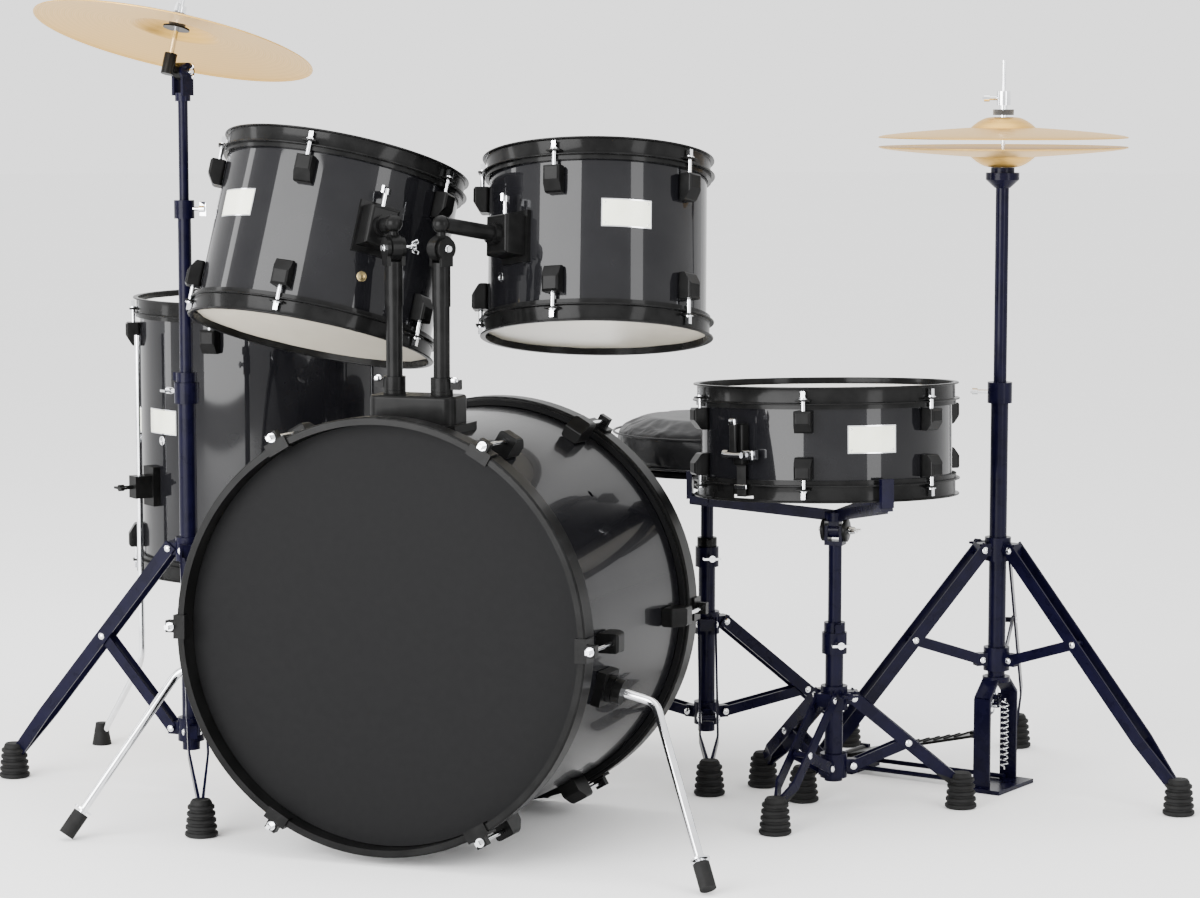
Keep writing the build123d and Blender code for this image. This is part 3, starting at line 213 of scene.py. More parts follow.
def brass():
    """Lathed brass: fine rings around the cymbal's own axis, and a little tarnish."""
    material, tree, shader = new_material("cymbal_brass_lathed", (0.78, 0.60, 0.30), 0.3, metal=1.0)
    place = tree.nodes.new("ShaderNodeTexCoord")
    rings = node(tree, "ShaderNodeTexWave", Scale=95.0, Distortion=0.25, Detail=2.0)
    rings.wave_type = "RINGS"
    rings.rings_direction = "Z"
    tree.links.new(place.outputs["Object"], rings.inputs["Vector"])
    bands = node(tree, "ShaderNodeTexWave", Scale=34.0, Distortion=1.2, Detail=3.0)
    bands.wave_type = "RINGS"
    bands.rings_direction = "Z"
    tree.links.new(place.outputs["Object"], bands.inputs["Vector"])
    colour = mixed(tree, bands.outputs["Fac"], (0.62, 0.37, 0.085), (0.66, 0.40, 0.10), 0.1, 0.9)
    tree.links.new(colour, shader.inputs["Base Color"])
    tree.links.new(between(tree, rings.outputs["Fac"], 0.34, 0.46), shader.inputs["Roughness"])
    bump(tree, shader, rings.outputs["Fac"], 0.25, 0.00015)
    return material


def vinyl():
    """Black upholstery vinyl with a pebbled grain."""
    material, tree, shader = new_material("throne_vinyl", (0.009, 0.009, 0.01), 0.42, coat=0.06,
                                          coat_rough=0.3, specular=0.22)
    place = tree.nodes.new("ShaderNodeTexCoord")
    cells = node(tree, "ShaderNodeTexVoronoi", Scale=520.0)
    tree.links.new(place.outputs["Object"], cells.inputs["Vector"])
    broad = noise(tree, 24.0)
    colour = mixed(tree, broad, (0.006, 0.006, 0.007), (0.011, 0.011, 0.012))
    tree.links.new(colour, shader.inputs["Base Color"])
    tree.links.new(between(tree, broad, 0.36, 0.5), shader.inputs["Roughness"])
    bump(tree, shader, cells.outputs["Distance"], 0.4, 0.0004)
    return material


def felt(name, dark, light):
    material, tree, shader = new_material(name, light, 0.95, sheen=0.5)
    fibres = noise(tree, 900.0, detail=8.0, rough=0.75)
    tree.links.new(mixed(tree, fibres, dark, light), shader.inputs["Base Color"])
    bump(tree, shader, fibres, 0.9, 0.0008)
    return material


M = {
    "lacquer": surface("drum_lacquer_gloss", (0.004, 0.004, 0.005), (0.007, 0.007, 0.008), (0.20, 0.26),
                       90.0, 0.015, coat=0.42, coat_rough=0.035, coat_ior=1.5, specular=0.03),
    "lacquer_bass": surface("bass_lacquer_gloss", (0.004, 0.004, 0.005), (0.007, 0.007, 0.008), (0.20, 0.26),
                            90.0, 0.015, coat=0.2, coat_rough=0.035, specular=0.02),
    "hoop_wood": surface("bass_hoop_lacquer", (0.004, 0.004, 0.004), (0.007, 0.007, 0.007), (0.30, 0.38),
                         220.0, 0.02, coat=0.08, coat_rough=0.12, specular=0.03),
    "hoop_steel": surface("hoop_black_steel", (0.004, 0.004, 0.004), (0.008, 0.008, 0.008), (0.24, 0.32),
                          320.0, 0.02, coat=0.12, coat_rough=0.1, specular=0.03),
    "cast": surface("cast_satin_black", (0.003, 0.003, 0.003), (0.006, 0.006, 0.006), (0.28, 0.38),
                    420.0, 0.05, coat=0.06, coat_rough=0.16, specular=0.05),
    "stand": surface("stand_powder_coat", (0.0022, 0.0020, 0.0085), (0.0034, 0.0030, 0.0130), (0.24, 0.32),
                     420.0, 0.02, coat=0.07, coat_rough=0.12, specular=0.05),
    "chrome": surface("chrome_plate", (0.66, 0.67, 0.69), (0.84, 0.85, 0.87), (0.07, 0.17),
                      300.0, 0.05, metal=1.0),
    "wire": surface("snare_wire_steel", (0.45, 0.46, 0.48), (0.68, 0.69, 0.71), (0.22, 0.36),
                    700.0, 0.2, metal=1.0),
    "rubber": surface("moulded_rubber", (0.004, 0.004, 0.004), (0.009, 0.009, 0.009), (0.60, 0.78),
                      600.0, 0.5, depth=0.0004, specular=0.15),
    "coated": surface("coated_white_film", (0.86, 0.86, 0.84), (0.89, 0.89, 0.87), (0.55, 0.66),
                      1400.0, 0.5, depth=0.0003),
    "cream": surface("clear_cream_film", (0.72, 0.66, 0.54), (0.75, 0.69, 0.57), (0.30, 0.36),
                     260.0, 0.04, coat=0.3, coat_rough=0.2),
    "dark_film": surface("front_film_dark", (0.0052, 0.0052, 0.0055), (0.0060, 0.0060, 0.0063), (0.50, 0.56),
                         900.0, 0.05, specular=0.05),
    "badge": surface("badge_plate", (0.80, 0.82, 0.66), (0.88, 0.90, 0.76), (0.26, 0.38),
                     240.0, 0.06, coat=0.3),
    "grommet": surface("grommet_brass", (0.50, 0.38, 0.18), (0.68, 0.54, 0.28), (0.20, 0.34),
                       500.0, 0.1, metal=1.0),
    "brass": brass(),
    "vinyl": vinyl(),
    "felt_black": felt("felt_black", (0.012, 0.012, 0.012), (0.035, 0.035, 0.035)),
    "felt_wool": felt("felt_wool", (0.50, 0.48, 0.44), (0.74, 0.72, 0.68)),
}


# ---------------------------------------------------------------- mesh building
def rounded(corners, radius, steps=4):
    """A closed 2-D outline with its corners rounded."""
    out = []
    count = len(corners)
    for i in range(count):
        here = Vector(corners[i])
        before = Vector(corners[i - 1]) - here
        after = Vector(corners[(i + 1) % count]) - here
        cut = min(radius, before.length * 0.45, after.length * 0.45)
        start = here + before.normalized() * cut
        end = here + after.normalized() * cut
        for k in range(steps + 1):
            t = k / steps
            out.append(tuple(start * (1 - t) ** 2 + here * 2 * t * (1 - t) + end * t * t))
    return out


class Piece:
    """A visible piece gathered from several shapes, in millimetres in its own frame."""

    def __init__(self, name, matrix):
        self.name = name
        self.matrix = matrix
        self.verts = []
        self.faces = []
        self.marks = []
        self.finishes = []

    def add(self, verts, faces, finish, at=None):
        if finish not in self.finishes:
            self.finishes.append(finish)
        mark = self.finishes.index(finish)
        base = len(self.verts)
        at = at or Matrix.Identity(4)
        self.verts += [at @ Vector(v) for v in verts]
        self.faces += [tuple(base + i for i in face) for face in faces]
        self.marks += [mark] * len(faces)

    def lathe(self, outline, finish, at=None, steps=96, start=0.0, end=360.0):
        """Turn a closed outline of (radius, height) about z."""
        whole = end - start >= 359.9
        rings = steps if whole else steps + 1
        count = len(outline)
        verts = []
        for i in range(rings):
            angle = math.radians(start + (end - start) * i / steps)
            verts += [(r * math.cos(angle), r * math.sin(angle), z) for r, z in outline]
        faces = []
        for i in range(steps):
            here = i * count
            there = ((i + 1) % rings) * count
            for k in range(count):
                n = (k + 1) % count
                faces.append((here + k, there + k, there + n, here + n))
        if not whole:
            faces.append(tuple(range(count)))
            faces.append(tuple(reversed(range(steps * count, (steps + 1) * count))))
        self.add(verts, faces, finish, at)

    def disc(self, outline, finish, at=None, steps=48):
        """Turn an open outline that begins and ends on the axis about z."""
        verts = [(0, 0, outline[0][1])]
        inner = outline[1:-1]
        for i in range(steps):
            angle = math.tau * i / steps
            verts += [(r * math.cos(angle), r * math.sin(angle), z) for r, z in inner]
        verts.append((0, 0, outline[-1][1]))
        count = len(inner)
        last = len(verts) - 1
        faces = []
        for i in range(steps):
            here = 1 + i * count
            there = 1 + ((i + 1) % steps) * count
            faces.append((0, there, here))
            for k in range(count - 1):
                faces.append((here + k, there + k, there + k + 1, here + k + 1))
            faces.append((here + count - 1, there + count - 1, last))
        self.add(verts, faces, finish, at)

    def block(self, size, bevel, finish, at=None):
        """A box with rounded edges."""
        mesh = bmesh.new()
        bmesh.ops.create_cube(mesh, size=1.0)
        bmesh.ops.scale(mesh, vec=size, verts=mesh.verts)
        bmesh.ops.bevel(mesh, geom=list(mesh.edges), offset=bevel, segments=3, profile=0.5, affect="EDGES")
        mesh.verts.index_update()
        verts = [v.co.copy() for v in mesh.verts]
        faces = [tuple(v.index for v in f.verts) for f in mesh.faces]
        mesh.free()
        self.add(verts, faces, finish, at)

    def tube(self, points, radius, finish, at=None, sides=12, closed=False):
        """A round bar along points, carried without twist."""
        points = [Vector(p) for p in points]
        count = len(points)
        side = None
        verts = []
        for i, point in enumerate(points):
            ahead = points[(i + 1) % count] if closed or i < count - 1 else point
            behind = points[i - 1] if closed or i else point
            run = (ahead - behind).normalized()
            if side is None:
                side = run.orthogonal().normalized()
            side = (side - run * side.dot(run)).normalized()
            other = run.cross(side)
            for k in range(sides):
                turn = math.tau * k / sides
                verts.append(point + (side * math.cos(turn) + other * math.sin(turn)) * radius)
        faces = []
        for i in range(count if closed else count - 1):
            here = i * sides
            there = ((i + 1) % count) * sides
            for k in range(sides):
                n = (k + 1) % sides
                faces.append((here + k, here + n, there + n, there + k))
        if not closed:
            faces.append(tuple(reversed(range(sides))))
            faces.append(tuple(range((count - 1) * sides, count * sides)))
        self.add(verts, faces, finish, at)

    def make(self, body, replaces=()):
        mesh = bpy.data.meshes.new(self.name)
        mesh.from_pydata([v * MM for v in self.verts], [], self.faces)
        for finish in self.finishes:
            mesh.materials.append(M[finish])
        mesh.polygons.foreach_set("material_index", self.marks)
        fix = bmesh.new()
        fix.from_mesh(mesh)
        bmesh.ops.recalc_face_normals(fix, faces=fix.faces)
        fix.to_mesh(mesh)
        fix.free()
        mesh.shade_smooth()
        mesh.set_sharp_from_angle(angle=math.radians(35))
        made = bpy.data.objects.new(self.name, mesh)
        bpy.context.scene.collection.objects.link(made)
        world = self.matrix.copy()
        world.translation *= MM
        made.matrix_world = world
        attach(made, body)
        if replaces:
            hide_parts(*replaces)
        return made


# ---------------------------------------------------------------- finishes of the CAD nodes
def islands(obj):
    """For each polygon of a CAD node, the number of its solid; and each solid's box in mm."""
    mesh = obj.data
    co = np.empty(len(mesh.vertices) * 3)
    mesh.vertices.foreach_get("co", co)
    co = co.reshape(-1, 3) * 1000
    _, same = np.unique(np.round(co * 20).astype(int), axis=0, return_inverse=True)
    same = same.ravel()
    parent = list(range(same.max() + 1))

    def root(a):
        while parent[a] != a:
            parent[a] = parent[parent[a]]
            a = parent[a]
        return a

    for polygon in mesh.polygons:
        first = root(same[polygon.vertices[0]])
        for v in polygon.vertices[1:]:
            parent[root(same[v])] = first
    label = np.array([root(s) for s in same])
    boxes = {k: (co[label == k].min(0), co[label == k].max(0)) for k in set(label)}
    return [label[p.vertices[0]] for p in mesh.polygons], boxes


def finish_node(name, finish, rule=None, by_solid=None):
    """Give a CAD node its materials; a rule names another finish for some faces or solids."""
    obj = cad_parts[name]
    obj.data.materials.clear()
    used = [finish]
    marks = [0] * len(obj.data.polygons)

    def mark_of(key):
        if key not in used:
            used.append(key)
        return used.index(key)

    if by_solid:
        labels, boxes = islands(obj)
        choice = {k: by_solid(low, high) for k, (low, high) in boxes.items()}
        marks = [mark_of(choice[k]) for k in labels]
    if rule:
        for i, polygon in enumerate(obj.data.polygons):
            key = rule(Vector(polygon.center) * 1000)
            if key:
                marks[i] = mark_of(key)
    for key in used:
        obj.data.materials.append(M[key])
    obj.data.polygons.foreach_set("material_index", marks)
    return obj


def rod_or_casting(low, high):
    return "chrome" if min(high - low) < 13 else "cast"


def claw_or_rod(low, high):
    return "chrome" if max(high - low) > 60 else "cast"


def head_finish(middle_z):
    def choose(low, high):
        return "coated" if (low[2] + high[2]) / 2 > middle_z else "cream"
    return choose


def boots_of(stand):
    """A rule: the boots of a stand are rubber."""
    centre = spot(*stand["at"])

    def rule(point):
        out = Vector((point.x - centre.x, point.y - centre.y)).length
        if point.z < BOOT_HEIGHT + 1 and out > stand["foot"] - 24:
            return "rubber"
    return rule


def collar_rule(drum):
    """The rim of a head, where the film turns down over the bearing edge, sits in a dark ring."""
    into = drum_frame(drum).inverted()
    radius = shell_radius(drum)

    def rule(point):
        local = into @ point
        if Vector((local.x, local.y)).length > radius - 0.5:
            return "hoop_steel"
    return rule


for drum_name, drum in (("tom_left", TOM_LEFT), ("tom_right", TOM_RIGHT),
                        ("floor_tom", FLOOR_TOM), ("snare", SNARE)):
    finish_node(f"{drum_name}_shell", "lacquer")
    finish_node(f"{drum_name}_lugs", "cast", by_solid=rod_or_casting)
    finish_node(f"{drum_name}_heads", "coated", by_solid=head_finish(drum["middle"][2]),
                rule=collar_rule(drum))
    finish_node(f"{drum_name}_hoops", "hoop_steel")

finish_node("bass_drum_shell", "lacquer_bass")
finish_node("bass_drum_hoops", "hoop_wood")
finish_node("bass_drum_heads", "dark_film")
finish_node("bass_drum_lugs", "cast")
finish_node("bass_drum_claws", "cast", by_solid=claw_or_rod)
finish_node("tom_holder_and_spur_brackets", "cast")


def spur_rule(side):
    """The spur's tip is rubber and its turning disc black."""
    bass = bass_frame()
    turn = math.radians(SPUR_TURN)
    out = Vector((side * math.cos(turn), math.sin(turn), 0))
    outward = (bass.to_3x3() @ out).normalized()
    hub = bass @ (out * SPUR_HUB_OUT + Vector((0, 0, SPUR_HUB_ALONG)))
    elbow = hub + outward * 58
    tip = spot(side * SPUR_TIP[0], *SPUR_TIP[1:])
    shin = (tip - elbow).normalized()

    def rule(point):
        if (tip - point).dot(shin) < 41:
            return "rubber"
        if -1 < (point - hub).dot(outward) < 12.5 and (point - hub).length > 9:
            return "cast"
    return rule


finish_node("bass_spur_left", "chrome", rule=spur_rule(-1))
finish_node("bass_spur_right", "chrome", rule=spur_rule(1))
finish_node("floor_tom_leg_brackets", "cast")
finish_node("floor_tom_legs", "chrome", rule=lambda p: "rubber" if p.z < 34.5 else None)


def post_point(side, z):
    """A point at height z on the left (-1) or right (1) tom's post."""
    return spot(TOM_POSTS_AT[0] + side * TOM_POST_SPREAD, TOM_POSTS_AT[1], z)


def seat_of(drum, side):
    """Where a tom's arm meets its shell: z out through the bracket, x along the drum's axis."""
    base = drum_frame(drum)
    centre = base.translation
    up = base.col[2].to_3d()
    reach = post_point(side, TOM_ARM_Z) - centre
    foot = centre + up * reach.dot(up)
    return axes(foot, post_point(side, TOM_ARM_Z) - foot, up)


for side, tom, drum in ((-1, "left", TOM_LEFT), (1, "right", TOM_RIGHT)):
    seat = seat_of(drum, side)
    inverse = seat.inverted()
    pivot = post_point(side, TOM_HINGE_Z)
    across = Vector((0, 0, 1)).cross(seat.col[2].to_3d()).normalized()

    def pin_rule(point, pivot=pivot, across=across):
        off = point - pivot
        if (off - across * off.dot(across)).length < 4.3 and abs(off.dot(across)) > 12:
            return "chrome"

    def bolt_rule(point, inverse=inverse, grip=shell_radius(drum) + 11):
        local = inverse @ point
        if local.x > 27.5 and local.z > grip:
            return "chrome"

    finish_node(f"tom_{tom}_post", "cast", rule=pin_rule)
    finish_node(f"tom_{tom}_arm", "cast")
    finish_node(f"tom_{tom}_bracket", "cast", rule=bolt_rule)


def clamp_rule(stand, low, high, reach, other=None):
    """A rule: what stands out of a tube's clamp between two heights is its chrome bolt."""
    centre = spot(*stand["at"])

    def rule(point):
        out = Vector((point.x - centre.x, point.y - centre.y)).length
        if low < point.z < high and out > reach:
            return "chrome"
        return other(point) if other else None
    return rule


for base_node, stand, top in (("snare_stand_base", SNARE_STAND, 254), ("crash_stand_base", CRASH_STAND, 596),
                              ("throne_base", THRONE_STAND, 327)):
    finish_node(base_node, "stand", rule=clamp_rule(stand, top - 30, top, CLAMP_REACH, boots_of(stand)))
for number in (1, 2, 3):
    finish_node(f"hihat_leg_{number}", "stand", rule=boots_of(HIHAT_STAND))
    finish_node(f"hihat_brace_{number}", "stand")
finish_node("hihat_stand_post", "stand", rule=clamp_rule(HIHAT_STAND, 563, 593, CLAMP_REACH))
finish_node("crash_upper_tube", "stand", rule=clamp_rule(CRASH_STAND, 834, 852, 14.9))
for plain in ("hihat_upper_tube", "hihat_sliding_collar", "snare_stand_tube", "snare_stand_basket"):
    finish_node(plain, "stand")
finish_node("hihat_footboard", "cast")
finish_node("snare_wires", "wire")
finish_node("snare_strainer_lever", "hoop_steel")
finish_node("snare_strainer", "hoop_steel")


def rod_rule(point):
    """The felts under and in the hi-hat's clutch."""
    off = point - spot(*HIHAT_STAND["at"])
    out = Vector((off.x, off.y)).length
    if out < 10 and 949.5 < point.z < 962.5:
        return "felt_black"
    if out > 10.5 and 975 < point.z < 985:
        return "felt_black"


finish_node("hihat_pull_rod", "chrome", rule=rod_rule)


def beater_rule(point):
    """The beater's head is felt and its cam cast."""
    lean = math.radians(BEATER_LEAN)
    swing = Vector((0, math.sin(lean), math.cos(lean)))
    off = point - spot(*BEATER_AXLE)
    along = off.dot(swing)
    if along > 132:
        return "felt_wool"
    if along < 26 and abs(off.x) < 20:
        return "cast"


finish_node("kick_pedal_beater", "chrome", rule=beater_rule)
finish_node("kick_pedal_board", "cast")
finish_node("kick_pedal_frame", "cast")

CRASH_PIVOT = spot(-439, -126, CRASH_PIVOT_Z)
BESIDE = Vector((CRASH_AXIS.x, CRASH_AXIS.y, 0)).normalized() * -CRASH_OFFSET
LEAN = axes(CRASH_PIVOT + BESIDE, CRASH_AXIS)


def tilter_rule(point):
    """The crash's felts, the steel washer under them and the chrome rod."""
    local = LEAN.inverted() @ point
    out = Vector((local.x, local.y)).length
    if CRASH_SEAT - 9.6 < local.z < CRASH_SEAT + 10.3 and out > 4.2:
        return "felt_black"
    if 26.2 < local.z < CRASH_SEAT and out > 6:
        return "hoop_steel"
    if local.z > 26.2:
        return "chrome"


finish_node("crash_tilter", "cast", rule=tilter_rule)
for cymbal_node in ("crash_cymbal", "hihat_top_cymbal", "hihat_bottom_cymbal"):
    finish_node(cymbal_node, "brass")
finish_node("throne_seat", "vinyl")


# ---------------------------------------------------------------- hoops
def hoop_outline(radius):
    """A triple-flanged hoop's section, from the end plane of its drum."""
    wall = radius + 2.4
    lip = radius + 10
    corners = [(wall, -14), (lip + 1, -14), (lip + 1, -11.7), (wall + 2.3, -11.7),
               (wall + 2.3, 7.7), (lip, 7.7), (lip, 10), (wall, 10)]
    return rounded(corners, 1.1)


def hoop_pair(name, drum, body, count, start, gates=()):
    """Both hoops of a drum, with their ears; gates are the notches for the snares."""
    base = drum_frame(drum)
    radius = shell_radius(drum)
    half = drum["depth"] / 2
    piece = Piece(f"{name}_hoops_pressed", base)
    outline = hoop_outline(radius)
    for sign, first in ((1, start), (-1, -start)):
        end = Matrix.Translation((0, 0, sign * half))
        if sign < 0:
            end = end @ Matrix.Rotation(math.pi, 4, "X")
        if sign < 0 and gates:
            half_gate = math.degrees(17.5 / radius)
            cuts = sorted(g % 360 for g in gates)
            spans = [(cuts[0] + half_gate, cuts[1] - half_gate),
                     (cuts[1] + half_gate, cuts[0] + 360 - half_gate)]
            for low, high in spans:
                piece.lathe(outline, "hoop_steel", end, steps=90, start=low, end=high)
            rim = rounded([(radius + 2.4, 5.3), (radius + 4.7, 5.3), (radius + 4.7, 7.7),
                           (radius + 10, 7.7), (radius + 10, 10), (radius + 2.4, 10)], 0.8)
            for gate in cuts:
                piece.lathe(rim, "hoop_steel", end, steps=12, start=gate - half_gate, end=gate + half_gate)
        else:
            piece.lathe(outline, "hoop_steel", end, steps=180)
        for k in range(count):
            turn = end @ about(first + 360 / count * k)
            piece.block((13, 20, 2.6), 0.9, "hoop_steel", turn @ Matrix.Translation((radius + 9.5, 0, -7.9)))
            ring = rounded([(3.4, 0), (6.4, 0), (6.4, 1.2), (3.4, 1.2)], 0.4)
            piece.lathe(ring, "chrome", turn @ Matrix.Translation((radius + 10, 0, -6.6)), steps=24)
    return piece.make(body, replaces=(f"{name}_hoops",))


hoop_pair("tom_left", TOM_LEFT, "tom_left", 5, -84.0)
hoop_pair("tom_right", TOM_RIGHT, "tom_right", 5, -91.5)
hoop_pair("floor_tom", FLOOR_TOM, "floor_tom", 6, -30.0)
hoop_pair("snare", SNARE, "snare_drum", 6, -23.5, gates=(113.0, 293.0))


# ---------------------------------------------------------------- badges and vents
def badge(name, drum, body, angle, height):
    """A blank name plate, curved to its shell, with a raised border."""
    radius = shell_radius(drum)
    piece = Piece(name, drum_frame(drum))
    across = 70.0
    tall = 38.0

    def sheet(width, depth, inner, outer, finish):
        columns = 20
        verts = []
        for reach in (inner, outer):
            for row in (-depth / 2, depth / 2):
                for c in range(columns + 1):
                    turn = math.radians(angle) + (c / columns - 0.5) * width / radius
                    verts.append((reach * math.cos(turn), reach * math.sin(turn), height + row))
        n = columns + 1
        faces = []
        for c in range(columns):
            faces.append((2 * n + c, 2 * n + c + 1, 3 * n + c + 1, 3 * n + c))
            faces.append((c, n + c, n + c + 1, c + 1))
            faces.append((n + c, 3 * n + c, 3 * n + c + 1, n + c + 1))
            faces.append((c, c + 1, 2 * n + c + 1, 2 * n + c))
        faces.append((0, 2 * n, 3 * n, n))
        faces.append((columns, n + columns, 3 * n + columns, 2 * n + columns))
        piece.add(verts, faces, finish)

    sheet(across, tall, radius - 0.1, radius + 0.7, "chrome")
    sheet(across - 3, tall - 3, radius + 0.5, radius + 1.1, "badge")
    for row in (-1, 1):
        for column in (-1, 1):
            turn = math.degrees(column * (across / 2 - 5) / radius)
            level = height + row * (tall / 2 - 5)
            pin = about(angle + turn) @ Matrix.Translation((radius + 1.0, 0, level))
            dome = [(0, 0), (1.5, 0), (1.3, 0.5), (0.7, 0.9), (0, 1.0)]
            piece.disc(dome, "chrome", pin @ Matrix.Rotation(math.pi / 2, 4, "Y"), steps=16)
    return piece.make(body)


badge("tom_right_badge", TOM_RIGHT, "tom_right", -54.7, 23.0)
badge("tom_left_badge", TOM_LEFT, "tom_left", -122.0, 21.6)
badge("floor_tom_badge", FLOOR_TOM, "floor_tom", -120.0, 29.0)
badge("snare_badge", SNARE, "snare_drum", -53.0, 7.0)


def grommet(name, matrix, radius, body, finish, angle, height):
    """A rolled metal eyelet with its domed centre in a vent hole."""
    piece = Piece(name, matrix)
    ring = rounded([(3.6, -2), (4.8, -2), (4.8, 0), (7.0, 0.2), (7.0, 1.0), (3.6, 1.4)], 0.5)
    at = about(angle) @ Matrix.Translation((radius, 0, height)) @ Matrix.Rotation(math.pi / 2, 4, "Y")
    piece.lathe(ring, finish, at, steps=40)
    piece.disc([(0, -0.6), (4.4, -0.6), (4.4, 0.2), (2.4, 0.7), (0, 0.8)], finish, at, steps=32)
    return piece.make(body)


for name, drum, body, finish, angle, height in (
    ("tom_left_vent_eyelet", TOM_LEFT, "tom_left", "grommet", -48.0, -54.0),
    ("tom_right_vent_eyelet", TOM_RIGHT, "tom_right", "chrome", -130.0, -54.0),
    ("floor_tom_vent_eyelet", FLOOR_TOM, "floor_tom", "chrome", -120.0, 0.0),
    ("snare_vent_eyelet", SNARE, "snare_drum", "chrome", 127.0, 0.0),
):
    grommet(name, drum_frame(drum), shell_radius(drum), body, finish, angle, height)


# ---------------------------------------------------------------- cymbals
def cymbal_outline(radius, bell, bow, flip=1, sheet=1.4):
    """A cymbal's closed section: a curved bow that rises into a domed bell."""
    upper = []
    for k in range(25):
        t = k / 24
        r = radius + (bell * 1.10 - radius) * t
        upper.append((r, bow * (1 - (1 - t) ** 2) ** 0.5 * 0.35 + bow * t * 0.65))
    for k in range(1, 15):
        t = k / 14
        r = bell * 1.10 + (6.5 - bell * 1.10) * t
        upper.append((r, bow + 15.0 * math.sin(math.pi / 2 * min(1.0, t * 1.35)) ** 0.9))
    upper = [(r, flip * z) for r, z in upper]
    lower = [(r, z - sheet) for r, z in reversed(upper)]
    lip = [(radius + 0.3, -sheet / 2)]
    return upper + lower + lip


def cymbal(name, matrix, radius, bell, bow, body, node_name, flip=1):
    piece = Piece(name, matrix)
    piece.lathe(cymbal_outline(radius, bell, bow, flip), "brass", steps=192)
    return piece.make(body, replaces=(node_name,))


HAT = stand_frame(HIHAT_STAND)
HAT_PEDAL = HAT @ about(HAT_PEDAL_ANGLE)
cymbal("crash_cymbal_lathed", LEAN @ Matrix.Translation((0, 0, CRASH_SEAT - 16.5 - 15 + 1.4)),
       CRASH_RADIUS, 56, 16.5, "crash_cymbal", "crash_cymbal")
cymbal("hihat_bottom_lathed", HAT @ Matrix.Translation((0, 0, HAT_BOTTOM_Z)),
       HAT_RADIUS, 42, 13, "hihat_upper", "hihat_bottom_cymbal", flip=-1)
cymbal("hihat_top_lathed", HAT @ Matrix.Translation((0, 0, HAT_TOP_Z)),
       HAT_RADIUS, 42, 13, "hihat_rod", "hihat_top_cymbal")


# ---------------------------------------------------------------- boots and rivets
def ridged_boot():
    """A moulded boot's outline with five ridges, from the floor up to the leg."""
    outline = [(0, 0.4), (20.5, 0.4)]
    for k in range(5):
        low = 1.5 + k * 9.2
        wide = 22.6 - k * 1.0
        neck = 19.3 - k * 1.05
        outline += [(wide - 0.8, low), (wide, low + 1.0), (wide, low + 4.0), (wide - 0.8, low + 5.0),
                    (neck, low + 5.6), (neck, low + 8.6)]
    outline += [(14.6, 48.0), (12.5, 51.0), (0, 51.0)]
    return outline


DOME = [(0, 0), (5.0, 0), (4.8, 1.2), (3.6, 2.2), (1.8, 2.8), (0, 3.0)]


def leg_trim(name, stand, angle, leg_body, brace_body):
    """A leg's ridged boot and the rivet heads where its strips turn."""
    base = stand_frame(stand) @ about(angle)
    pivot = Vector((PIVOT_OUT, 0, stand["upper"]))
    foot = Vector((stand["foot"] - 6, 0, BOOT_HEIGHT * 0.8))
    joint = pivot + (foot - pivot) * stand["brace"]
    trim = Piece(f"{name}_boot_and_rivets", base)
    trim.disc(ridged_boot(), "rubber", Matrix.Translation((stand["foot"], 0, 0)))
    for side in (-1, 1):
        out = Matrix.Rotation(-side * math.pi / 2, 4, "X")
        for point in (pivot, joint):
            place = Matrix.Translation(point + Vector((0, side * 14.3, 0)))
            trim.disc(DOME, "chrome", place @ out, steps=20)
    trim.make(leg_body)
    pins = Piece(f"{name}_brace_rivets", base)
    for side in (-1, 1):
        out = Matrix.Rotation(-side * math.pi / 2, 4, "X")
        place = Matrix.Translation((PIVOT_OUT, side * 11.6, stand["lower"]))
        pins.disc(DOME, "chrome", place @ out, steps=20)
    pins.make(brace_body)


for stand_name, stand in (("snare_stand", SNARE_STAND), ("crash_stand", CRASH_STAND),
                          ("throne", THRONE_STAND)):
    for number, angle in enumerate(stand["angles"], start=1):
        leg_trim(f"{stand_name}_leg_{number}", stand, angle, "kit", "kit")
for number, angle in enumerate(HIHAT_STAND["angles"], start=1):
    leg_trim(f"hihat_stand_leg_{number}", HIHAT_STAND, angle, f"hihat_leg_{number}", f"hihat_brace_{number}")


# ---------------------------------------------------------------- hi-hat chain
def chain(piece, start, end, link=13.0, width=7.0, wire=1.3):
    """A run of interlocked oval links, each a quarter turn from the last."""
    start = Vector(start)
    run = Vector(end) - start
    count = max(2, round(run.length / (link - 2.6 * wire)))
    for k in range(count):
        middle = start + run * ((k + 0.5) / count)
        at = axes(middle, run, (1, 0, 0)) @ about(90 * (k % 2))
        loop = []
        for n in range(20):
            turn = math.tau * n / 20
            loop.append((math.cos(turn) * width / 2, 0, math.sin(turn) * link / 2))
        piece.tube(loop, wire, "chrome", at, sides=8, closed=True)


hat_chain = Piece("hihat_chain", HAT_PEDAL)
chain(hat_chain, (4, 0, 118), (22, 0, 80))
hat_chain.make("hihat_rod")


# ---------------------------------------------------------------- bolts, wing nuts and springs
def key_bolt(piece, at):
    """A drum-key bolt: washer and square head, z out."""
    piece.disc([(0, 0), (4.6, 0), (4.6, 1.2), (4.0, 1.6), (0, 1.6)], "chrome", at, steps=24)
    piece.block((5.6, 5.6, 7.0), 0.7, "chrome", at @ Matrix.Translation((0, 0, 5.0)))


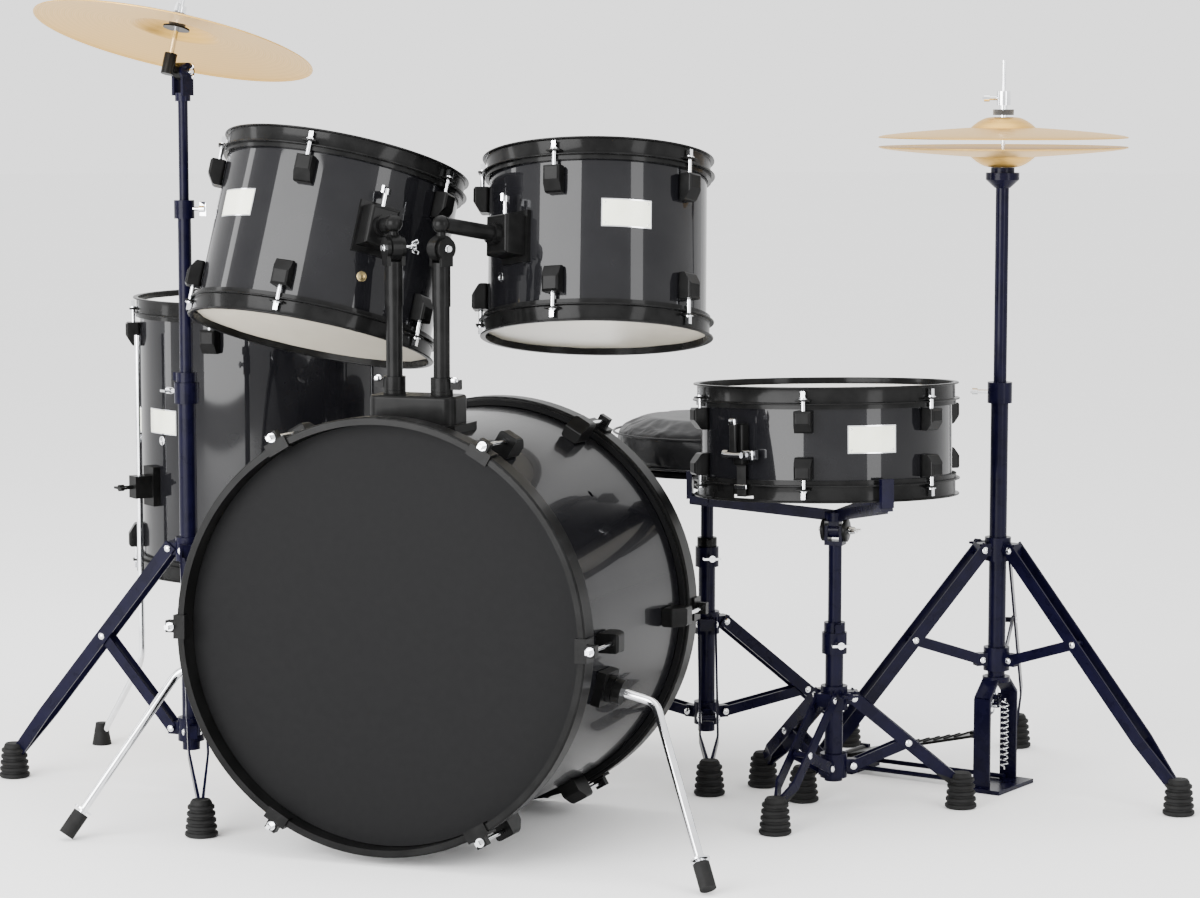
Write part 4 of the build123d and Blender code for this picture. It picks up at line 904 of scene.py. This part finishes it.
def wing_nut(piece, at, size=1.0):
    """A cast wing nut with two leaning wings, z out."""
    hub = [(0, 0), (5.2, 0), (5.4, 2), (4.4, 8), (3.2, 9), (0, 9)]
    piece.disc([(r * size, z * size) for r, z in hub], "chrome", at, steps=28)
    for side in (-1, 1):
        lean = Matrix.Rotation(math.radians(side * 24), 4, "Y")
        wing = at @ Matrix.Translation((side * 7.2 * size, 0, 8.0 * size)) @ lean
        piece.block((7.0 * size, 3.0 * size, 12.0 * size), 1.3 * size, "chrome", wing)


def spring(piece, start, end, radius, turns, wire, finish="chrome"):
    """A coil spring between two points, with a straight hook at each end."""
    start = Vector(start)
    end = Vector(end)
    run = end - start
    at = axes(start, run, (1, 0, 0))
    coil = run.length - 12
    points = [(0, 0, 0), (0, 0, 4)]
    for k in range(turns * 14 + 1):
        turn = math.tau * k / 14
        points.append((radius * math.cos(turn), radius * math.sin(turn), 6 + coil * k / (turns * 14)))
    points += [(0, 0, run.length - 4), (0, 0, run.length)]
    piece.tube(points, wire, finish, at, sides=8)


for side, tom, drum in ((-1, "left", TOM_LEFT), (1, "right", TOM_RIGHT)):
    pivot = post_point(side, TOM_HINGE_Z)
    across = Vector((0, 0, 1)).cross(seat_of(drum, side).col[2].to_3d()).normalized()
    hardware = Piece(f"tom_{tom}_tilter_bolts", Matrix.Translation(pivot))
    for end in (-1, 1):
        cap = axes(across * end * FORK_FACE, across * end, (0, 0, 1))
        hardware.disc([(0, 0), (4.9, 0), (4.9, 1.4), (4.2, 2.2), (2.6, 2.4), (2.4, 3.4), (0, 3.6)],
                      "chrome", cap, steps=36)
    if tom == "left":
        side_out = across if across.x > 0 else -across
        hardware.tube([side_out * 14, side_out * 30], 3.0, "chrome")
        wing_nut(hardware, axes(side_out * 24, side_out, (0, 0, 1)), 0.85)
    foot = post_point(side, TOM_HOLDER_TOP + 20.8) - pivot
    key_bolt(hardware, axes(foot + Vector((side * 21, -4.8, 0)), (0, -1, 0), (0, 0, 1)))
    hardware.make(f"tom_{tom}_post")

crash_bolts = Piece("crash_tilter_wing_nut", Matrix.Translation(CRASH_PIVOT))
CRASH_ACROSS = Vector((0, 0, 1)).cross(CRASH_AXIS).normalized()
front = CRASH_ACROSS if CRASH_ACROSS.y < 0 else -CRASH_ACROSS
wing_nut(crash_bolts, axes(front * TILTER_FACE, front, (0, 0, 1)), 0.9)
crash_bolts.disc([(0, 0), (7.2, 0), (7.0, 2), (0, 3.2)], "chrome",
                 axes(-front * TILTER_FACE, -front, (0, 0, 1)))
crash_bolts.make("crash_tube")

SNARE_HINGE = stand_frame(SNARE_STAND) @ Matrix.Translation((0, 0, SNARE_HINGE_Z))
tilter = Piece("snare_stand_tilter_nut", SNARE_HINGE)
ratchet = [(4.3, 13.3), (15.5, 13.3), (16.5, 14.3), (16.5, 17.6), (15.0, 18.6), (4.3, 18.6)]
for turn in (0, math.pi):
    tilter.lathe(ratchet, "cast", Matrix.Rotation(math.pi / 2 + turn, 4, "Y"), steps=40)
wing_nut(tilter, axes((19.5, 0, 0), (1, 0, 0), (0, 1, 0)), 1.1)
tilter.disc([(0, 0), (7.5, 0), (7.2, 2.2), (4.5, 3.6), (0, 3.8)], "chrome",
            axes((-19, 0, 0), (-1, 0, 0), (0, 0, 1)))
tilter.make("snare_stand_tube")


# ---------------------------------------------------------------- snare throw-off
def snare_side(angle):
    """On the snare's wall: z out of the shell, x up along the drum's axis."""
    base = drum_frame(SNARE)
    turn = math.radians(angle)
    out = (base.to_3x3() @ Vector((math.cos(turn), math.sin(turn), 0))).normalized()
    return axes(base.translation + out * shell_radius(SNARE), out, base.col[2].to_3d())


def strap(piece):
    """The black strap from the strainer down and under to the wires, and its clip."""
    piece.block((43, 16, 1.2), 0.5, "rubber", Matrix.Translation((-50, 0, 7.5)))
    piece.block((1.2, 16, 44), 0.5, "rubber", Matrix.Translation((-70.4, 0, -14)))
    piece.block((6, 22, 3.0), 0.9, "chrome", Matrix.Translation((-58, 0, 9.4)))


throw = Piece("snare_throw_off", snare_side(STRAINER_ANGLE))
throw.block((56, 17, 15), 2.4, "cast", Matrix.Translation((0, 0, 8.2)))
throw.block((13, 20, 13), 1.6, "chrome", Matrix.Translation((-14, -19, 12)))
throw.disc([(0, 0), (6.4, 0), (6.6, 1), (6.6, 8), (5.6, 9.2), (0, 9.4)], "chrome",
           axes((-14, 18, 12), (0, 1, 0), (1, 0, 0)), steps=24)
throw.tube([(-14, -10, 12), (-14, 20, 12)], 3.2, "chrome")
strap(throw)
throw.make("snare_drum", replaces=("snare_strainer",))

butt = Piece("snare_butt_plate", snare_side(BUTT_ANGLE))
butt.block((56, 28, 13), 3.0, "chrome", Matrix.Translation((0, 0, 7.0)))
for height in (-16, 16):
    key_bolt(butt, Matrix.Translation((height, 0, 13.2)))
strap(butt)
butt.make("snare_drum")

lever = Piece("snare_throw_off_lever", snare_side(STRAINER_ANGLE))
lever.block((50, 11, 4.4), 1.6, "hoop_steel", Matrix.Translation((11, 0, 24.6)))
lever.tube([(-14, -14, 24.6), (-14, 14, 24.6)], 3.9, "chrome", sides=20)
lever.block((9, 11.5, 6.4), 1.8, "chrome", Matrix.Translation((31, 0, 24.9)))
lever.make("snare_lever", replaces=("snare_strainer_lever",))


# ---------------------------------------------------------------- pedals
def treads(piece, heel, toe, width, count):
    """Raised grip bars across a footboard, from heel to toe."""
    heel = Vector(heel)
    run = Vector(toe) - heel
    at = axes(heel, run.cross(Vector((0, 1, 0))) * -1, run)
    for k in range(count):
        along = run.length * (0.30 + 0.56 * k / (count - 1))
        piece.block((5.0, width, 2.2), 0.8, "rubber", at @ Matrix.Translation((along, 0, 2.7)))


hat_treads = Piece("hihat_footboard_treads", HAT_PEDAL)
treads(hat_treads, (236, 0, 24), (24, 0, 76), 46, 8)
hat_treads.make("hihat_pedal")

kick = Matrix.Translation(spot(0, 0)) @ about(90.0)
kick_treads = Piece("kick_footboard_treads", kick)
treads(kick_treads, (318, 0, 24), (112, 0, 92), 50, 8)
kick_treads.make("kick_board")

kick_chain = Piece("kick_pedal_chain", Matrix.Translation(spot(0, 0)))
chain(kick_chain, (12, 84, 196), (2, 112, 100))
kick_chain.make("kick_board")

return_spring = Piece("kick_pedal_return_spring", Matrix.Translation(spot(0, 0)))
spring(return_spring, (62, 58, 192), (62, 58, 26), 7.0, 16, 1.2)
return_spring.block((12, 14, 6), 1.4, "cast", Matrix.Translation((60, 58, 22)))
return_spring.make("kit")

hat_spring = Piece("hihat_return_springs", HAT_PEDAL)
for across_board in (-30, 30):
    spring(hat_spring, (0, across_board, 126), (0, across_board, 20), 5.4, 12, 1.0)
hat_spring.make("kit")


# ---------------------------------------------------------------- throne seat
def swell(obj, cap, limit_radius, low, high):
    """Blow a closed pad up with the cloth solver, and keep it inside the space of its CAD solid."""
    scene = bpy.context.scene
    before = np.array([v.co for v in obj.data.vertices])
    cloth = obj.modifiers.new("cloth", "CLOTH")
    cloth.settings.use_pressure = True
    cloth.settings.uniform_pressure_force = 4.0
    cloth.settings.effector_weights.gravity = 0.0
    cloth.settings.quality = 4
    for number in range(1, 21):
        scene.frame_set(number)
    solved = obj.evaluated_get(bpy.context.evaluated_depsgraph_get())
    after = np.array([v.co for v in solved.data.vertices])
    obj.modifiers.remove(cloth)
    scene.frame_set(1)
    move = after - before
    length = np.linalg.norm(move, axis=1, keepdims=True)
    move *= np.minimum(1.0, cap / np.maximum(length, 1e-9))
    co = before + move
    out = np.linalg.norm(co[:, :2], axis=1)
    co[:, :2] *= np.minimum(1.0, limit_radius / np.maximum(out, 1e-9))[:, None]
    co[:, 2] = np.clip(co[:, 2], low, high)
    obj.data.vertices.foreach_set("co", co.ravel())
    obj.data.update()


def make_throne():
    """The upholstered seat: its cushion, piping, pan and post."""
    base = stand_frame(THRONE_STAND)
    pad = Piece("throne_seat_cushion", base @ Matrix.Translation((0, 0, SEAT_BOTTOM)))
    outline = [(0, 0), (126, 0), (132, 3), (135, 10), (136, 30), (135, 48), (130, 58), (118, 65),
               (90, 68), (50, 69), (0, 69)]
    pad.disc(outline, "vinyl", steps=96)
    cushion = pad.make("throne_seat", replaces=("throne_seat",))
    bpy.context.view_layer.objects.active = cushion
    remesh = cushion.modifiers.new("remesh", "REMESH")
    remesh.mode = "VOXEL"
    remesh.voxel_size = 0.005
    solid = bpy.data.meshes.new_from_object(cushion.evaluated_get(bpy.context.evaluated_depsgraph_get()))
    cushion.modifiers.remove(remesh)
    cushion.data = solid
    if not solid.materials:
        solid.materials.append(M["vinyl"])
    swell(cushion, 0.009, 0.1415, 0.0, 0.0745)
    cushion.data.shade_smooth()
    smooth = cushion.modifiers.new("smooth", "SUBSURF")
    smooth.levels = 1
    smooth.render_levels = 1

    piping = Piece("throne_seat_piping", base)
    for height, reach in ((457.0, 139.0), (502.0, 140.6)):
        ring = [(reach + 1.8 * math.cos(math.tau * k / 10), height + 1.8 * math.sin(math.tau * k / 10))
                for k in range(10)]
        piping.lathe(ring, "vinyl", steps=120)
    piping.make("throne_seat")

    post = Piece("throne_seat_post", base)
    post.lathe(rounded([(5.5, 190), (9.5, 190), (9.5, 418), (5.5, 418)], 0.8), "stand", steps=48)
    post.lathe(rounded([(9.6, 327.4), (15, 327.4), (15, 341.3), (9.6, 341.3)], 1.4), "cast", steps=48)
    post.block((12, 9, 12), 1.2, "cast", about(-60) @ Matrix.Translation((17, 0, 334.3)))
    post.lathe(rounded([(9.6, 415), (22, 415), (22, 443), (9.6, 443)], 2.0), "cast", steps=48)
    pan = [(0, 443), (128, 443), (130, 445), (130, 450), (128, SEAT_BOTTOM), (0, SEAT_BOTTOM)]
    post.disc(pan, "cast", steps=96)
    post.make("throne_seat")


make_throne()


# ---------------------------------------------------------------- stage, light and camera
def make_stage():
    """A pale floor as bright as the even white sky, so that no horizon shows."""
    mesh = bpy.data.meshes.new("floor")
    build = bmesh.new()
    bmesh.ops.create_circle(build, cap_ends=True, segments=96, radius=30.0)
    build.to_mesh(mesh)
    build.free()
    floor = bpy.data.objects.new("floor", mesh)
    bpy.context.scene.collection.objects.link(floor)
    floor.location = (0, 0, -0.0002)
    pale = surface("floor_pale", (0.965, 0.965, 0.965), (0.975, 0.975, 0.975), (0.7, 0.8), 6.0, 0.02,
                   specular=0.2)
    mesh.materials.append(pale)
    floor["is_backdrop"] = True

    world = bpy.data.worlds.new("studio")
    world.use_nodes = True
    backdrop = world.node_tree.nodes["Background"]
    backdrop.inputs["Color"].default_value = (1, 1, 1, 1)
    backdrop.inputs["Strength"].default_value = SKY_STRENGTH
    bpy.context.scene.world = world


def softbox(name, at, towards, width, height, power):
    light = bpy.data.lights.new(name, "AREA")
    light.shape = "RECTANGLE"
    light.size = width
    light.size_y = height
    light.energy = power
    lamp = bpy.data.objects.new(name, light)
    bpy.context.scene.collection.objects.link(lamp)
    lamp.location = at
    lamp.rotation_euler = (Vector(towards) - Vector(at)).to_track_quat("-Z", "Y").to_euler()


make_stage()
softbox("wall_left", (-1.5, -3.9, 1.5), (-0.1, 0, 0.7), 3.4, 2.8, 420)
softbox("rim_left", (-3.9, -0.7, 1.5), (0, 0, 0.7), 0.5, 2.6, 40)
softbox("strip_right", (3.5, -1.9, 1.5), (0, 0, 0.7), 0.9, 2.6, 60)
softbox("overhead", (0, -0.2, 3.3), (0, 0, 0), 3.2, 2.6, 60)

camera = bpy.data.objects.new("camera", bpy.data.cameras.new("camera"))
bpy.context.scene.collection.objects.link(camera)
camera.location = (1.66173, -4.57957, 1.0411)
PITCH = 0.1107
LOOK = Vector((-0.3377 * math.cos(PITCH), 0.9412 * math.cos(PITCH), -math.sin(PITCH)))
camera.rotation_euler = LOOK.to_track_quat("-Z", "Y").to_euler()
camera.data.sensor_fit = "HORIZONTAL"
camera.data.sensor_width = 36.0
camera.data.lens = 102.5
camera.data.clip_end = 100.0
bpy.context.scene.camera = camera


def plain(box):
    return [[float(v) for v in corner] for corner in box]


{"cad": plain(CAD_BOX), "visual": plain(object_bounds())}
